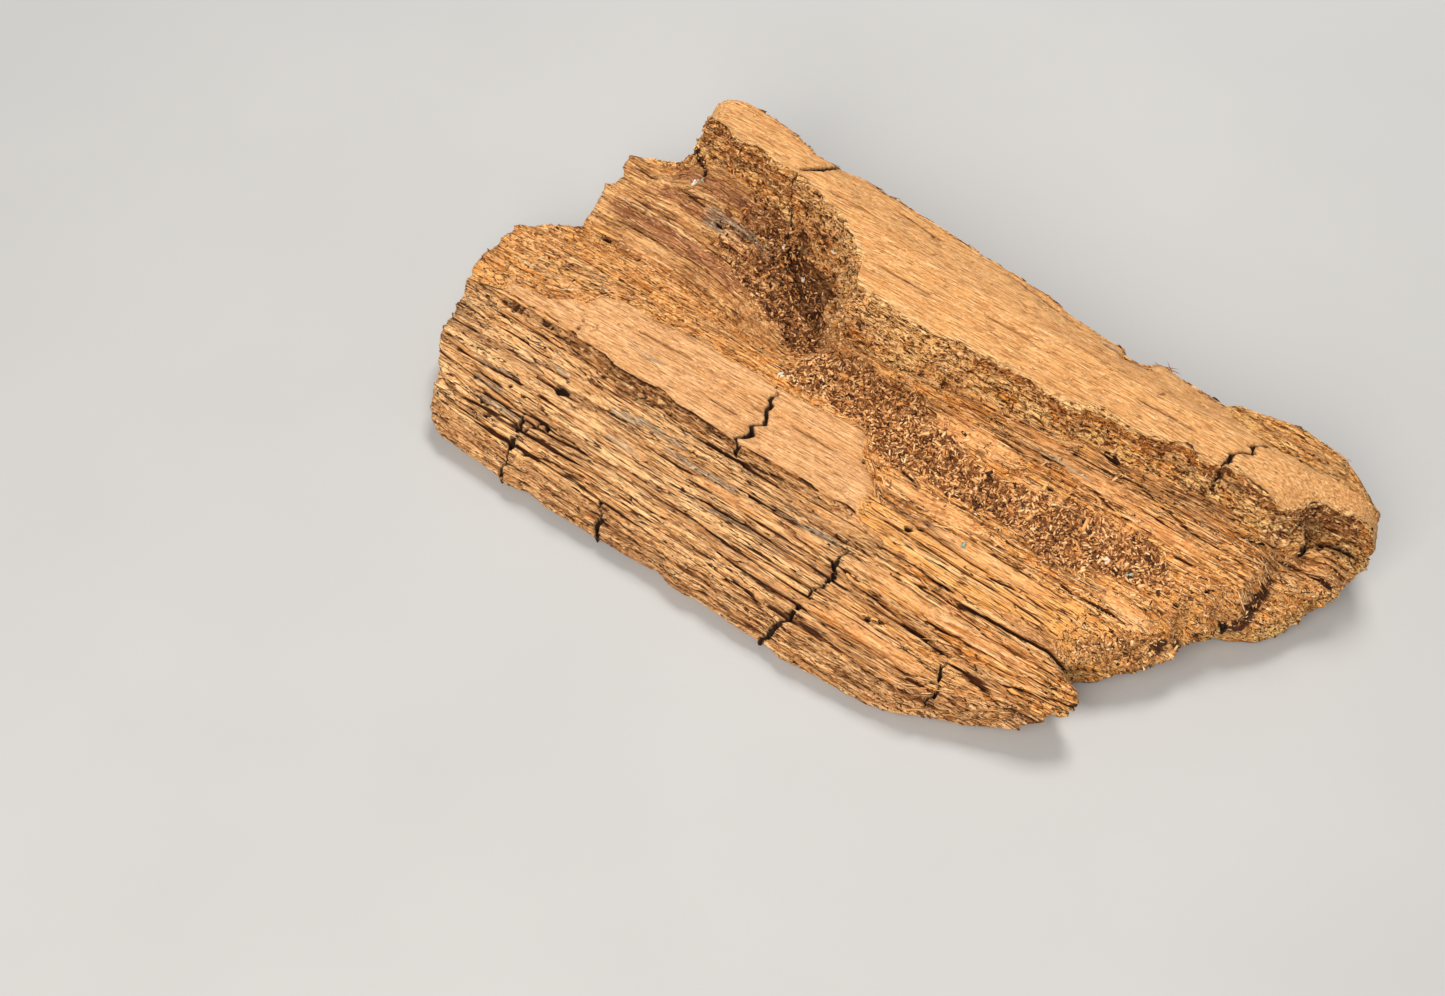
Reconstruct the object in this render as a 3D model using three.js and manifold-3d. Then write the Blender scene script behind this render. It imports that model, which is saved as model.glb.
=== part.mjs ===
// A slab of decayed wood, broken out of a log, lying on its flat underside.
// Millimetres. X runs along the grain, Y across it towards the thick side, Z is up.
import * as THREE from "three";
import { mergeVertices } from "three/addons/utils/BufferGeometryUtils.js";
import Module from "manifold-3d";

// Driving sizes
const PAD_HEIGHT = 0;
const UNDER_RELIEF = 2.2;
const NEAR_WALL_RUN = 5.5;
const FAR_BULGE = 2.5;
const RIDGE_HEIGHT = 0.6;
const LUMP_HEIGHT = 0.8;

// Colour of the weathered heartwood, and how dull it is
const WOOD_COLOUR = 0xb98350;
const WOOD_ROUGHNESS = 0.92;

// Where the strands stop at the two broken ends: pairs of y and x
const LEFT_END = [
  [-81, -118], [-77, -124], [-72, -127], [-64, -131], [-58, -136], [-51, -140], [-45, -142],
  [-35, -144], [-32, -146.5], [-26, -148], [-6, -148], [-1, -141], [2, -137], [7, -130],
  [17, -132], [25, -134], [32, -133], [37, -136], [41, -136], [44, -128], [46.5, -119],
  [49, -115.5], [53, -112.5], [60, -112.5], [72, -113],
];
const RIGHT_END = [
  [-81, 62], [-72, 69], [-66, 75], [-62, 83], [-58, 87], [-54, 91], [-50, 95], [-46, 94],
  [-43, 87], [-38, 86], [-33, 89.5], [-29, 95], [-24, 103], [-17, 107.5], [-8, 110], [0, 115],
  [6, 122], [14, 127], [21, 130], [30, 134.5], [36, 137], [42, 138], [48, 137], [55, 133],
  [62, 126], [70, 120],
];

// The same two ends along the underside, which is set back from them
const LEFT_UNDER = [
  [-80, -114], [-62, -125], [-50, -133], [-38, -139], [-26, -143], [-14, -142], [-2, -134],
  [10, -127], [22, -129], [34, -130], [46, -118], [70, -112],
];
const RIGHT_UNDER = [
  [-80, 58], [-70, 67], [-62, 75], [-55, 82], [-50, 84], [-44, 82], [-38, 85], [-31, 92],
  [-23, 97.5], [-18, 101.5], [-9, 102], [-3, 106], [2, 111], [5, 118], [8, 123], [12, 125.5],
  [24, 129], [31, 132], [42, 133.5], [50, 132], [58, 126], [70, 117],
];

// The thin near edge and the thick far edge: pairs of x and y
const NEAR_EDGE = [
  [-145, -66], [-130, -74], [-125, -78], [-118, -80], [-99, -81], [-59, -80], [-9, -79.5],
  [31, -79], [49, -77], [58, -73], [72, -67], [81, -62], [90, -59], [140, -56],
];
const FAR_EDGE = [
  [-145, 66], [-115, 66], [-101, 67], [-86, 65.5], [-78, 63.5], [-73, 61.5], [-69, 62.5],
  [-53, 64], [-33, 62.5], [7, 60], [22, 58], [31, 56.5], [46, 55.5], [48, 52.5], [56, 53.5],
  [59, 57.5], [67, 57], [81, 54.5], [84, 58], [97, 61], [102, 63.5], [118, 62.5], [130, 59],
  [140, 54],
];

// Lines that run along the grain over the upper face, from the near edge to the far one.
// Each has its y and its height as pairs with x, and the number of strands up to the next line.
const GRAIN_LINES = [
  {
    name: "near foot",
    y: NEAR_EDGE,
    z: [[-145, 6], [-60, 4], [0, 4], [50, 3.5], [72, 6], [90, 9], [140, 9]],
    strands: 1,
  },
  {
    name: "near rim",
    y: NEAR_EDGE.map(([x, y]) => [x, y + NEAR_WALL_RUN]),
    z: [[-145, 12], [-110, 13], [-60, 13.5], [0, 13.5], [45, 12.5], [70, 12.5], [90, 13]],
    strands: 3,
  },
  {
    name: "shoulder of the weathered band",
    y: [[-145, -60], [-110, -67], [49, -66], [60, -63.5], [90, -56.5], [140, -52]],
    z: [[-145, 13], [-110, 15.5], [-20, 16.5], [50, 15], [75, 14.5], [90, 13.5]],
    strands: 1,
  },
  {
    name: "step beside the long prong",
    y: [[-145, -56], [-110, -61], [-40, -62], [49, -60], [60, -57.5], [90, -53], [140, -49]],
    z: [[-145, 14], [-110, 17], [-20, 17.5], [45, 16.5], [60, 18], [80, 17.5], [94, 14]],
    strands: 6,
  },
  {
    name: "groove under the smooth ledge",
    y: [
      [-145, -33], [-131, -32.7], [-100, -34], [-98, -35.6], [-60, -36.6], [-35, -38],
      [15, -38.3], [60, -43.5], [95, -45], [140, -44],
    ],
    z: [
      [-145, 16], [-125, 18.5], [-100, 20], [-85, 19], [-60, 19.2], [-45, 20.3], [10, 20.8],
      [60, 19.2], [86, 18.5], [95, 14],
    ],
    strands: 1,
  },
  {
    name: "near edge of the smooth ledge",
    y: [
      [-145, -32], [-131, -31], [-100, -32.2], [-98, -34], [-60, -35], [-35, -36.4],
      [10, -36.6], [60, -40.5], [95, -40], [140, -38],
    ],
    z: [
      [-145, 16.5], [-133, 19], [-129, 22], [-100, 23], [-60, 23.7], [8, 24], [12, 22.4],
      [60, 20.8], [80, 18.8], [88, 10], [96, 6],
    ],
    strands: 3,
  },
  {
    name: "far edge of the smooth ledge",
    y: [
      [-145, -25], [-132, -28], [-116, -27], [-109, -22.3], [-104.5, -21.5], [-102.5, -16],
      [-92, -14], [-60, -12], [-36, -12.6], [-3, -11.6], [1, -19], [10, -27.5], [13, -30],
      [40, -25], [100, -22], [140, -18],
    ],
    z: [
      [-145, 17.5], [-133, 20], [-128, 22.6], [-100, 24], [-60, 24.6], [-3, 25], [10, 24.3],
      [13, 23.2], [40, 23], [80, 21.5], [92, 19], [99, 12], [106, 8],
    ],
    strands: 1,
  },
  {
    name: "foot of the ledge's far edge",
    y: [
      [-145, -23.5], [-132, -26.5], [-116, -25.5], [-109, -20.8], [-104.5, -20], [-102.5, -14.6],
      [-92, -12.6], [-60, -10.6], [-36, -11.2], [-3, -10], [1, -17.4], [10, -26], [13, -28.5],
      [40, -23.5], [100, -20.5], [140, -16.5],
    ],
    z: [
      [-145, 17.5], [-133, 19.5], [-120, 21.3], [-100, 22.5], [-60, 23], [-3, 23.4],
      [10, 22.8], [13, 22.8], [40, 22.8], [80, 21.8], [96, 19.5], [104, 12], [110, 8],
    ],
    strands: 2,
  },
  {
    name: "near side of the crumb bed",
    y: [
      [-145, -12], [-100, -7], [-60, -4], [-36, -5], [-20, -8], [4, -9], [10, -14], [20, -16],
      [40, -17], [62, -16.5], [88, -10], [104, -9], [140, -5],
    ],
    z: [
      [-145, 18], [-120, 21], [-60, 22.4], [-36, 22.5], [4, 23.6], [40, 23], [88, 23],
      [103, 21.5], [109, 15], [114, 8],
    ],
    strands: 2,
  },
  {
    name: "middle of the crumb bed",
    y: [
      [-145, 0], [-60, 3], [-36, 3], [0, -1], [20, -6], [40, -8], [70, -5], [92, -3], [112, 1],
      [140, 4],
    ],
    z: [
      [-145, 18], [-120, 20.5], [-70, 20], [-58, 16.5], [-50, 15], [-42, 17.5], [-32, 21.5],
      [0, 21.8], [40, 21], [88, 22.5], [108, 21.5], [115, 14], [121, 8],
    ],
    strands: 2,
  },
  {
    name: "far side of the crumb bed",
    y: [
      [-145, 8], [-120, 10.5], [-90, 10], [-65, 8], [-45, 7], [-30, 9], [0, 8], [24, 3],
      [38, 1], [45, 6], [70, 8], [92, 7], [112, 9], [140, 12],
    ],
    z: [
      [-145, 18], [-120, 19], [-90, 20], [-70, 16], [-58, 11], [-48, 10], [-40, 14], [-31, 23],
      [0, 25.2], [40, 24.6], [92, 24.6], [113, 23], [119, 17], [126, 8],
    ],
    strands: 3,
  },
  {
    name: "floor of the hollow, and the ridges right of it",
    y: [
      [-145, 26], [-90, 26], [-70, 25], [-58, 21], [-48, 16], [-40, 12], [-34, 10.4],
      [-28, 10.2], [0, 10.5], [20, 9], [40, 9], [70, 14], [104, 16], [118, 18.5], [140, 24],
    ],
    z: [
      [-145, 20], [-120, 19.5], [-100, 18], [-80, 15.5], [-68, 11.5], [-58, 8.5], [-48, 7.5],
      [-41, 9], [-35, 16], [-30, 24], [0, 27], [40, 28.3], [90, 28.5], [113, 26], [120, 19],
      [131, 8],
    ],
    strands: 4,
  },
  {
    name: "foot of the high wall",
    y: [
      [-145, 42], [-121, 43], [-110, 45.5], [-101, 47], [-90, 46], [-78, 44.5], [-72, 42.5],
      [-65, 37], [-58, 32], [-49, 27], [-43, 22], [-38, 17], [-34, 13.2], [-30, 11.6],
      [-10, 11.6], [1, 12], [8, 13.8], [13, 16.4], [19, 17.4], [39, 17], [49, 18.4],
      [52, 20.8], [69, 20.4], [79, 23], [97, 25], [104, 24.4], [114, 25.4], [119, 27],
      [123, 32], [127, 36], [134, 38.5], [140, 39],
    ],
    z: [
      [-145, 20], [-124, 21], [-117, 23], [-110, 29], [-101, 31], [-90, 30], [-80, 27], [-72, 21],
      [-65, 14.5], [-58, 10.5], [-49, 8.8], [-43, 9.4], [-38, 14], [-34, 21], [-30, 27],
      [0, 29.5], [40, 31], [80, 31.4], [104, 30.5], [113, 28], [119, 24], [125, 17], [134, 12],
      [140, 8],
    ],
    strands: 1,
  },
  {
    name: "break in the high wall",
    y: [
      [-145, 50], [-117, 51], [-110, 49.4], [-101, 48.2], [-90, 47.2], [-78, 46], [-70, 44.6],
      [-65, 42], [-58, 38.5], [-49, 34.5], [-43, 30], [-38, 24.5], [-34, 17.5], [-31, 13.2],
      [-10, 13.4], [1, 13.8], [9, 16.2], [13, 17.2], [19, 18.6], [39, 18], [49, 19.4],
      [52, 21.8], [69, 21.5], [79, 24], [97, 26.2], [104, 25.4], [114, 26.4], [120, 28.5],
      [124, 34], [128, 38], [134, 40.5], [140, 41],
    ],
    z: [
      [-145, 20], [-118, 24], [-113.5, 32], [-110, 38], [-101, 39.5], [-78, 38], [-70, 33], [-65, 28],
      [-58, 24], [-49, 23], [-43, 24], [-38, 28], [-34, 34], [-30, 40], [8, 41], [12, 38],
      [60, 38.5], [104, 37.5], [114, 34], [121, 27], [128, 19], [134, 16], [140, 10],
    ],
    strands: 1,
  },
  {
    name: "top of the high wall",
    y: [
      [-145, 59], [-117, 58], [-113.5, 55.5], [-108.5, 51.7], [-102.5, 49.4], [-90, 48.4],
      [-78, 47.4], [-70, 46.6], [-66, 45.4], [-58, 43.4], [-51, 41.2], [-46, 38.4], [-41, 35.4],
      [-36, 32], [-33.5, 28], [-32, 22], [-30, 17], [-11, 16], [1, 16], [9, 18], [14, 18.2],
      [19, 20.2], [39, 19.2], [49, 20.6], [52, 23], [69, 22.6], [79, 25.2], [97, 27.4],
      [104, 26.4], [114, 27.6], [120, 30], [123, 36], [128, 40.5], [134, 43], [140, 44],
    ],
    z: [
      [-145, 22], [-116, 30], [-114, 40], [-110, 45.5], [-102, 47], [-40, 46.4], [9, 46.4],
      [60, 46], [97, 45], [110, 43], [118, 40], [123, 34], [130, 29.5], [136, 24], [140, 14],
    ],
    strands: 2,
  },
  {
    name: "crown of the smooth plank",
    y: [
      [-145, 62], [-115, 60], [-100, 57.5], [-78, 54], [-60, 51], [-40, 44], [-20, 39],
      [60, 38.5], [100, 41], [120, 45], [132, 49], [140, 50],
    ],
    z: [
      [-145, 28], [-118, 36], [-114, 43.5], [-108, 45], [-70, 46.4], [-20, 47.2], [60, 46.2],
      [96, 44], [112, 40], [124, 34.5], [132, 30], [137, 24], [140, 14],
    ],
    strands: 3,
  },
  {
    name: "far rim",
    y: FAR_EDGE.map(([x, y]) => [x, y - 3]),
    z: [
      [-145, 26], [-118, 34], [-112, 40], [-77, 41.5], [-20, 40.5], [60, 38.5], [80, 38],
      [100, 36], [120, 33], [130, 28], [137, 20], [140, 12],
    ],
    strands: 1,
  },
  {
    name: "far edge",
    y: FAR_EDGE,
    z: [
      [-145, 22], [-118, 29], [-112, 35], [-77, 37], [-20, 36], [60, 34], [80, 33.5],
      [100, 32], [120, 29], [130, 24], [140, 9],
    ],
    strands: 1,
  },
  {
    name: "layered far wall",
    y: FAR_EDGE.map(([x, y]) => [x, y + FAR_BULGE]),
    z: [[-145, 14], [-112, 22], [-20, 23], [60, 21], [120, 18], [140, 7]],
    strands: 1,
  },
  {
    name: "lower far wall",
    y: FAR_EDGE.map(([x, y]) => [x, y + 0.6 * FAR_BULGE]),
    z: [[-145, 8], [-112, 10], [60, 10], [120, 8], [140, 5]],
    strands: 1,
  },
];

// The underside from the far foot to the near one, as y at mid length and the set-back of each
const UNDER_LINES = [60, 52, 43, 33, 23, 12, 1, -11, -23, -35, -47, -59, -70];

// Flat pads the slab lies on: x, y, half length along the grain, half width
const PADS = [
  [-92, 20, 17, 12],
  [-70, -52, 22, 12],
  [42, -48, 20, 11],
  [-5, 8, 26, 15],
  [98, 30, 15, 13],
];

// Where the cross sections stand along the grain, closer together round the hollow's broken wall
const STATIONS = [
  -140, -137, -133, -128, -123, -118, -113, -108, -103, -98, -93, -88, -84, -80, -77, -74.5,
  -72, -69, -66, -63, -60, -57, -54, -51, -48, -45.5, -43, -40.5, -38, -36, -34.2, -32.6,
  -31, -29, -25, -20, -15, -10, -5, -1, 3, 7, 10, 13, 17, 21, 26, 32, 38, 44, 49, 53, 58, 64,
  70, 76, 82, 88, 94, 99, 104, 109, 114, 118, 122, 126, 130, 133, 136,
];
const LEFT_SPREAD = -105;
const RIGHT_SPREAD = 45;

// Cracks through the upper face: width, depth, and the way they wander as pairs of x and y
const CRACKS = [
  {
    width: 2.4,
    depth: 6,
    path: [
      [-36, -11], [-34.5, -15], [-33.5, -19], [-31.5, -23], [-30.5, -27], [-32.5, -29.5],
      [-31, -32.5], [-34.5, -35.5], [-32, -38.5], [-26.5, -41.5],
    ],
  },
  {
    width: 1.8,
    depth: 5,
    path: [
      [12, -42], [13, -47], [14, -51.5], [17, -55], [15.5, -62], [14, -66], [13.5, -71],
      [11, -76], [7, -83],
    ],
  },
  {
    width: 1.6,
    depth: 4,
    path: [[-96, -64], [-94, -69], [-92, -74], [-92, -79], [-89, -84]],
  },
  {
    width: 1.3,
    depth: 3.5,
    path: [[-56, -74], [-54, -79], [-53, -85]],
  },
  {
    width: 1.3,
    depth: 3.5,
    path: [[57, -57], [58, -63], [57.5, -68], [56, -76]],
  },
  {
    width: 1.4,
    depth: 5,
    path: [[96, 26], [97, 31], [99, 36.5], [101.5, 40], [102, 44], [106.5, 46]],
  },
  {
    width: 2.6,
    depth: 11,
    path: [[-68, 40], [-68.6, 46], [-69.4, 52], [-68.4, 58], [-69, 68]],
  },
];

// Round pits: x, y, half length along the grain, half width, depth
const PITS = [
  [-91, -50.5, 3.4, 2.2, 4],
  [26, -31.5, 1.8, 1.6, 3.5],
  [29, -29.5, 1.3, 1.2, 3],
  [-119.5, 7, 2.6, 1.8, 3],
  [-88, 27, 5, 1.8, 3.5],
  [32, -61, 1.6, 1.4, 3],
  [-106, -70, 2.6, 1.6, 3],
];

// The dark cavity in the thick broken end
const CAVITY = { x: 134, y: 36, z: 27, length: 13, width: 6.5, height: 9, turn: -0.25 };

// Value at v along pairs of place and value, held level past both ends
function along(pairs, v) {
  if (v <= pairs[0][0]) return pairs[0][1];
  for (let k = 1; k < pairs.length; k++) {
    const [a, p] = pairs[k - 1];
    const [b, q] = pairs[k];
    if (v <= b) return p + ((q - p) * (v - a)) / (b - a);
  }
  return pairs[pairs.length - 1][1];
}

// A repeatable number from -1 to 1 for a cell of whole numbers
function cell(i, j, k) {
  const s = Math.sin(i * 127.1 + j * 311.7 + k * 74.7) * 43758.5453;
  return 2 * (s - Math.floor(s)) - 1;
}

// Smooth noise from -1 to 1 over the plane
function noise(x, y, k) {
  const i = Math.floor(x);
  const j = Math.floor(y);
  const u = (x - i) * (x - i) * (3 - 2 * (x - i));
  const v = (y - j) * (y - j) * (3 - 2 * (y - j));
  const low = cell(i, j, k) * (1 - u) + cell(i + 1, j, k) * u;
  const high = cell(i, j + 1, k) * (1 - u) + cell(i + 1, j + 1, k) * u;
  return low * (1 - v) + high * v;
}

// How far a column of strands reaches: the x where its line meets the end's outline
function endOf(outline, lineY, start) {
  let x = start;
  for (let turn = 0; turn < 40; turn++) {
    x += 0.35 * (along(outline, lineY(x)) - x);
  }
  return x;
}

// Upper columns: each has its y and z as functions of x, and the rounds between two lines
// take their share of both
const columns = [];
GRAIN_LINES.forEach((line, k) => {
  const next = GRAIN_LINES[k + 1];
  const count = next ? line.strands : 1;
  for (let n = 0; n < count; n++) {
    const share = n / count;
    const number = columns.length;
    const y = (x) => {
      const here = along(line.y, x);
      if (n === 0) return here;
      const shift = 0.25 * noise(x / 31, number * 3.1, 5);
      return here + (along(next.y, x) - here) * (share + shift / count);
    };
    const z = (x) => {
      const here = along(line.z, x);
      const level = n === 0 ? here : here + (along(next.z, x) - here) * share;
      const ridge = RIDGE_HEIGHT * (number % 2 ? 1 : -1) * (0.5 + 0.5 * noise(x / 24, number, 9));
      const lump = LUMP_HEIGHT * noise(x / 11, y(x) / 7, 3);
      return level + (n === 0 ? 0.25 : 1) * (ridge + lump);
    };
    columns.push({
      y,
      z,
      left: endOf(LEFT_END, y, -130),
      right: endOf(RIGHT_END, y, 100),
    });
  }
});

// Height of the underside: shallow relief, cut off level where the pads are
function underHeight(x, y) {
  let relief = UNDER_RELIEF * (0.75 + 0.5 * noise(x / 17, y / 8, 21) + 0.3 * noise(x / 7, y / 5, 22));
  for (const [px, py, a, b] of PADS) {
    const out = Math.max(Math.abs(x - px) - a, Math.abs(y - py) - b);
    relief = Math.min(relief, Math.max(0, out * 0.35));
  }
  return PAD_HEIGHT + Math.max(0, relief);
}

// Underside columns, set back from the edges of the upper face
for (const level of UNDER_LINES) {
  const y = (x) => {
    const near = along(NEAR_EDGE, x) + 2.5;
    const far = along(FAR_EDGE, x) - 2;
    return near + ((far - near) * (level + 77)) / 137;
  };
  columns.push({
    y,
    z: (x) => underHeight(x, y(x)),
    left: endOf(LEFT_UNDER, y, -125),
    right: endOf(RIGHT_UNDER, y, 95),
  });
}

// Place along the grain of a station on a column: true to size in the middle, and drawn in
// or out towards the column's own end
function stationX(column, nominal) {
  const first = STATIONS[0];
  const last = STATIONS[STATIONS.length - 1];
  if (nominal < LEFT_SPREAD) {
    const share = (nominal - LEFT_SPREAD) / (first - LEFT_SPREAD);
    return LEFT_SPREAD + share * (column.left - LEFT_SPREAD);
  }
  if (nominal > RIGHT_SPREAD) {
    const share = (nominal - RIGHT_SPREAD) / (last - RIGHT_SPREAD);
    return RIGHT_SPREAD + share * (column.right - RIGHT_SPREAD);
  }
  return nominal;
}

// The slab's skin: rings of points round the section, joined along the grain, with both
// broken ends closed
function slabSkin() {
  const around = columns.length;
  const upper = around - UNDER_LINES.length;
  const points = [];
  for (const nominal of STATIONS) {
    for (const column of columns) {
      const x = stationX(column, nominal);
      points.push(x, column.y(x), column.z(x));
    }
  }
  const faces = [];
  for (let i = 0; i < STATIONS.length - 1; i++) {
    for (let j = 0; j < around; j++) {
      const a = i * around + j;
      const b = i * around + ((j + 1) % around);
      const c = a + around;
      const d = b + around;
      if ((i + j) % 2) faces.push(a, c, b, b, c, d);
      else faces.push(a, c, d, a, d, b);
    }
  }
  // Each end is zipped shut between the upper columns and the underside ones, nearest first
  const zip = (base, flip) => {
    let top = 0;
    let under = around - 1;
    while (top < upper - 1 || under > upper) {
      const nextTop = points[3 * (base + top + 1) + 1];
      const nextUnder = points[3 * (base + under - 1) + 1];
      const takeTop = under === upper || (top < upper - 1 && nextTop < nextUnder);
      const third = takeTop ? top + 1 : under - 1;
      const face = [base + top, base + third, base + under];
      if (flip) face.reverse();
      faces.push(...face);
      if (takeTop) top += 1;
      else under -= 1;
    }
  };
  zip(0, false);
  zip((STATIONS.length - 1) * around, true);
  return { points, faces };
}

const wasm = await Module();
wasm.setup();

// A manifold solid of a list of points and faces
function solid(points, faces) {
  return new wasm.Manifold(
    new wasm.Mesh({
      numProp: 3,
      vertProperties: new Float32Array(points),
      triVerts: new Uint32Array(faces),
    }),
  );
}

// Height of the upper face, found from the columns on both sides of the place
function upperHeight(x, y) {
  const upper = columns.length - UNDER_LINES.length;
  for (let j = 1; j < upper; j++) {
    const a = columns[j - 1].y(x);
    const b = columns[j].y(x);
    if (y >= a && y <= b && b > a) {
      const share = (y - a) / (b - a);
      return columns[j - 1].z(x) * (1 - share) + columns[j].z(x) * share;
    }
  }
  return columns[y < 0 ? 1 : upper - 4].z(x);
}

// A crack as a wedge with a sharp bottom, open above the face
function crackWedge({ width, depth, path }) {
  const points = [];
  path.forEach(([x, y], k) => {
    const [ax, ay] = path[Math.max(0, k - 1)];
    const [bx, by] = path[Math.min(path.length - 1, k + 1)];
    const reach = Math.hypot(bx - ax, by - ay);
    const taper = k === 0 || k === path.length - 1 ? 0.35 : 0.8 + 0.4 * ((k * 5) % 3 === 0);
    const sx = ((-(by - ay) / reach) * width * taper) / 2;
    const sy = (((bx - ax) / reach) * width * taper) / 2;
    const face = upperHeight(x, y);
    points.push(x + 2 * sx, y + 2 * sy, face + depth);
    points.push(x - 2 * sx, y - 2 * sy, face + depth);
    points.push(x, y, face - depth * taper);
  });
  const faces = [];
  for (let k = 0; k < path.length - 1; k++) {
    for (let j = 0; j < 3; j++) {
      const a = 3 * k + j;
      const b = 3 * k + ((j + 1) % 3);
      faces.push(a, b, a + 3, b, b + 3, a + 3);
    }
  }
  const last = 3 * (path.length - 1);
  faces.push(0, 2, 1, last, last + 1, last + 2);
  return solid(points, faces);
}

// A low round body with ragged facets, for pits and the cavity
function raggedBall(seed) {
  const ball = new THREE.IcosahedronGeometry(1, 1);
  ball.deleteAttribute("normal");
  ball.deleteAttribute("uv");
  const shape = mergeVertices(ball, 1e-4);
  const place = shape.attributes.position;
  for (let k = 0; k < place.count; k++) {
    const size = 1 + 0.22 * cell(k, seed, 40);
    place.setXYZ(k, place.getX(k) * size, place.getY(k) * size, place.getZ(k) * size);
  }
  return shape;
}

// The ragged ball stretched, turned and moved to its place, as a manifold solid
function placedBall(seed, length, width, height, turn, x, y, z) {
  const shape = raggedBall(seed);
  shape.applyMatrix4(new THREE.Matrix4().makeScale(length, width, height));
  shape.applyMatrix4(new THREE.Matrix4().makeRotationZ(turn));
  shape.applyMatrix4(new THREE.Matrix4().makeTranslation(x, y, z));
  return solid(shape.attributes.position.array, shape.index.array);
}

const skin = slabSkin();
let body = solid(skin.points, skin.faces);
for (const crack of CRACKS) body = body.subtract(crackWedge(crack));
PITS.forEach(([x, y, length, width, depth], k) => {
  const z = upperHeight(x, y);
  body = body.subtract(placedBall(k, length, width, depth, 0, x, y, z));
});
const { x, y, z, length, width, height, turn } = CAVITY;
body = body.subtract(placedBall(31, length, width, height, turn, x, y, z));

const cut = body.getMesh();
const geometry = new THREE.BufferGeometry();
geometry.setAttribute("position", new THREE.BufferAttribute(cut.vertProperties, cut.numProp));
geometry.setIndex(new THREE.BufferAttribute(cut.triVerts, 1));

// The origin is the middle of the slab's footprint, on the surface it lies on
geometry.computeBoundingBox();
const box = geometry.boundingBox;
geometry.translate(-(box.min.x + box.max.x) / 2, -(box.min.y + box.max.y) / 2, -box.min.z);
geometry.computeVertexNormals();

const wood = new THREE.Mesh(
  geometry,
  new THREE.MeshStandardMaterial({
    color: WOOD_COLOUR,
    roughness: WOOD_ROUGHNESS,
    metalness: 0,
    flatShading: true,
  }),
);
wood.name = "decayed_wood";

const slab = new THREE.Group();
slab.name = "decayed_wood_slab";
slab.add(wood);

export default slab;
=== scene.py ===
import itertools

import bpy
import numpy as np
from mathutils import Matrix, Vector


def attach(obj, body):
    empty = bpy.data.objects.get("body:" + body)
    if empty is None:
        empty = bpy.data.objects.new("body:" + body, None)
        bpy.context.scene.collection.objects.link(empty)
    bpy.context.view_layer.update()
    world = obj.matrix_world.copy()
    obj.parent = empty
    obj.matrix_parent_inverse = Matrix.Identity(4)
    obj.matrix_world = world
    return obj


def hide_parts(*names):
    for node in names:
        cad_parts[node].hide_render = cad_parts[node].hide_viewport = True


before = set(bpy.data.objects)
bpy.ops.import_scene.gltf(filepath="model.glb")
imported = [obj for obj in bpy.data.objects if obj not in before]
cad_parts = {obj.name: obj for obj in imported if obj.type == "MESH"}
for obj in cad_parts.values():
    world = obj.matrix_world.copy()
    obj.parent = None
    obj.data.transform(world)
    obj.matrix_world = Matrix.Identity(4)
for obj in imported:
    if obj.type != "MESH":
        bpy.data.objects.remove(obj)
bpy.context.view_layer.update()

MM = 0.001

# The view: a camera above the near side of the slab, looking down at it with the grain running
# from upper left to lower right. The slab lies on a plain pale floor under soft studio light.
IMAGE_WIDTH, IMAGE_HEIGHT = 1445, 996
FOCAL_LENGTH_PX = 1900
VIEW_ELEVATION = np.radians(55)
GRAIN_TURN = np.radians(37)
AIM_POINT_MM = np.array([5.1, 5.8, 25.0])
AIM_PIXEL = (896, 414)
AIM_DEPTH_MM = 580
SENSOR_WIDTH_MM = 36

right = np.array([np.cos(GRAIN_TURN), np.sin(GRAIN_TURN), 0])
level = np.array([-np.sin(GRAIN_TURN), np.cos(GRAIN_TURN), 0])
forward = np.cos(VIEW_ELEVATION) * level - np.sin(VIEW_ELEVATION) * np.array([0, 0, 1])
up = np.sin(VIEW_ELEVATION) * level + np.cos(VIEW_ELEVATION) * np.array([0, 0, 1])
ray = (
    forward
    + (AIM_PIXEL[0] - IMAGE_WIDTH / 2) / FOCAL_LENGTH_PX * right
    + (IMAGE_HEIGHT / 2 - AIM_PIXEL[1]) / FOCAL_LENGTH_PX * up
)
eye = (AIM_POINT_MM - AIM_DEPTH_MM * ray) * MM

camera_data = bpy.data.cameras.new("studio_camera")
camera_data.sensor_fit = "HORIZONTAL"
camera_data.sensor_width = SENSOR_WIDTH_MM
camera_data.lens = SENSOR_WIDTH_MM * FOCAL_LENGTH_PX / IMAGE_WIDTH
camera_data.clip_start = 0.01
camera = bpy.data.objects.new("studio_camera", camera_data)
turn = np.eye(4)
turn[:3, 0], turn[:3, 1], turn[:3, 2], turn[:3, 3] = right, up, -forward, eye
camera.matrix_world = Matrix(turn.tolist())
bpy.context.collection.objects.link(camera)
bpy.context.scene.camera = camera
bpy.context.scene.view_settings.view_transform = "Standard"


def hex_colour(code):
    """Linear colour of an sRGB hex value: each channel follows the sRGB curve."""
    channels = [int(code[k : k + 2], 16) / 255 for k in (1, 3, 5)]
    linear = [c / 12.92 if c <= 0.04045 else ((c + 0.055) / 1.055) ** 2.4 for c in channels]
    return (*linear, 1.0)


def add_node(material, kind, sockets=None, output=0, **settings):
    """Add a shader node of the kind named, without its ShaderNode: give it its settings, and each
    of the named sockets a value or a link. Gives back the output asked for."""
    made = material.node_tree.nodes.new("ShaderNode" + kind)
    for name, value in settings.items():
        setattr(made, name, value)
    for name, value in (sockets or {}).items():
        if isinstance(value, bpy.types.NodeSocket):
            material.node_tree.links.new(value, made.inputs[name])
        else:
            made.inputs[name].default_value = value
    return made.outputs[output] if made.outputs else None


def new_material(name):
    """An empty node material."""
    material = bpy.data.materials.new(name)
    material.use_nodes = True
    material.node_tree.nodes.clear()
    return material


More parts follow.
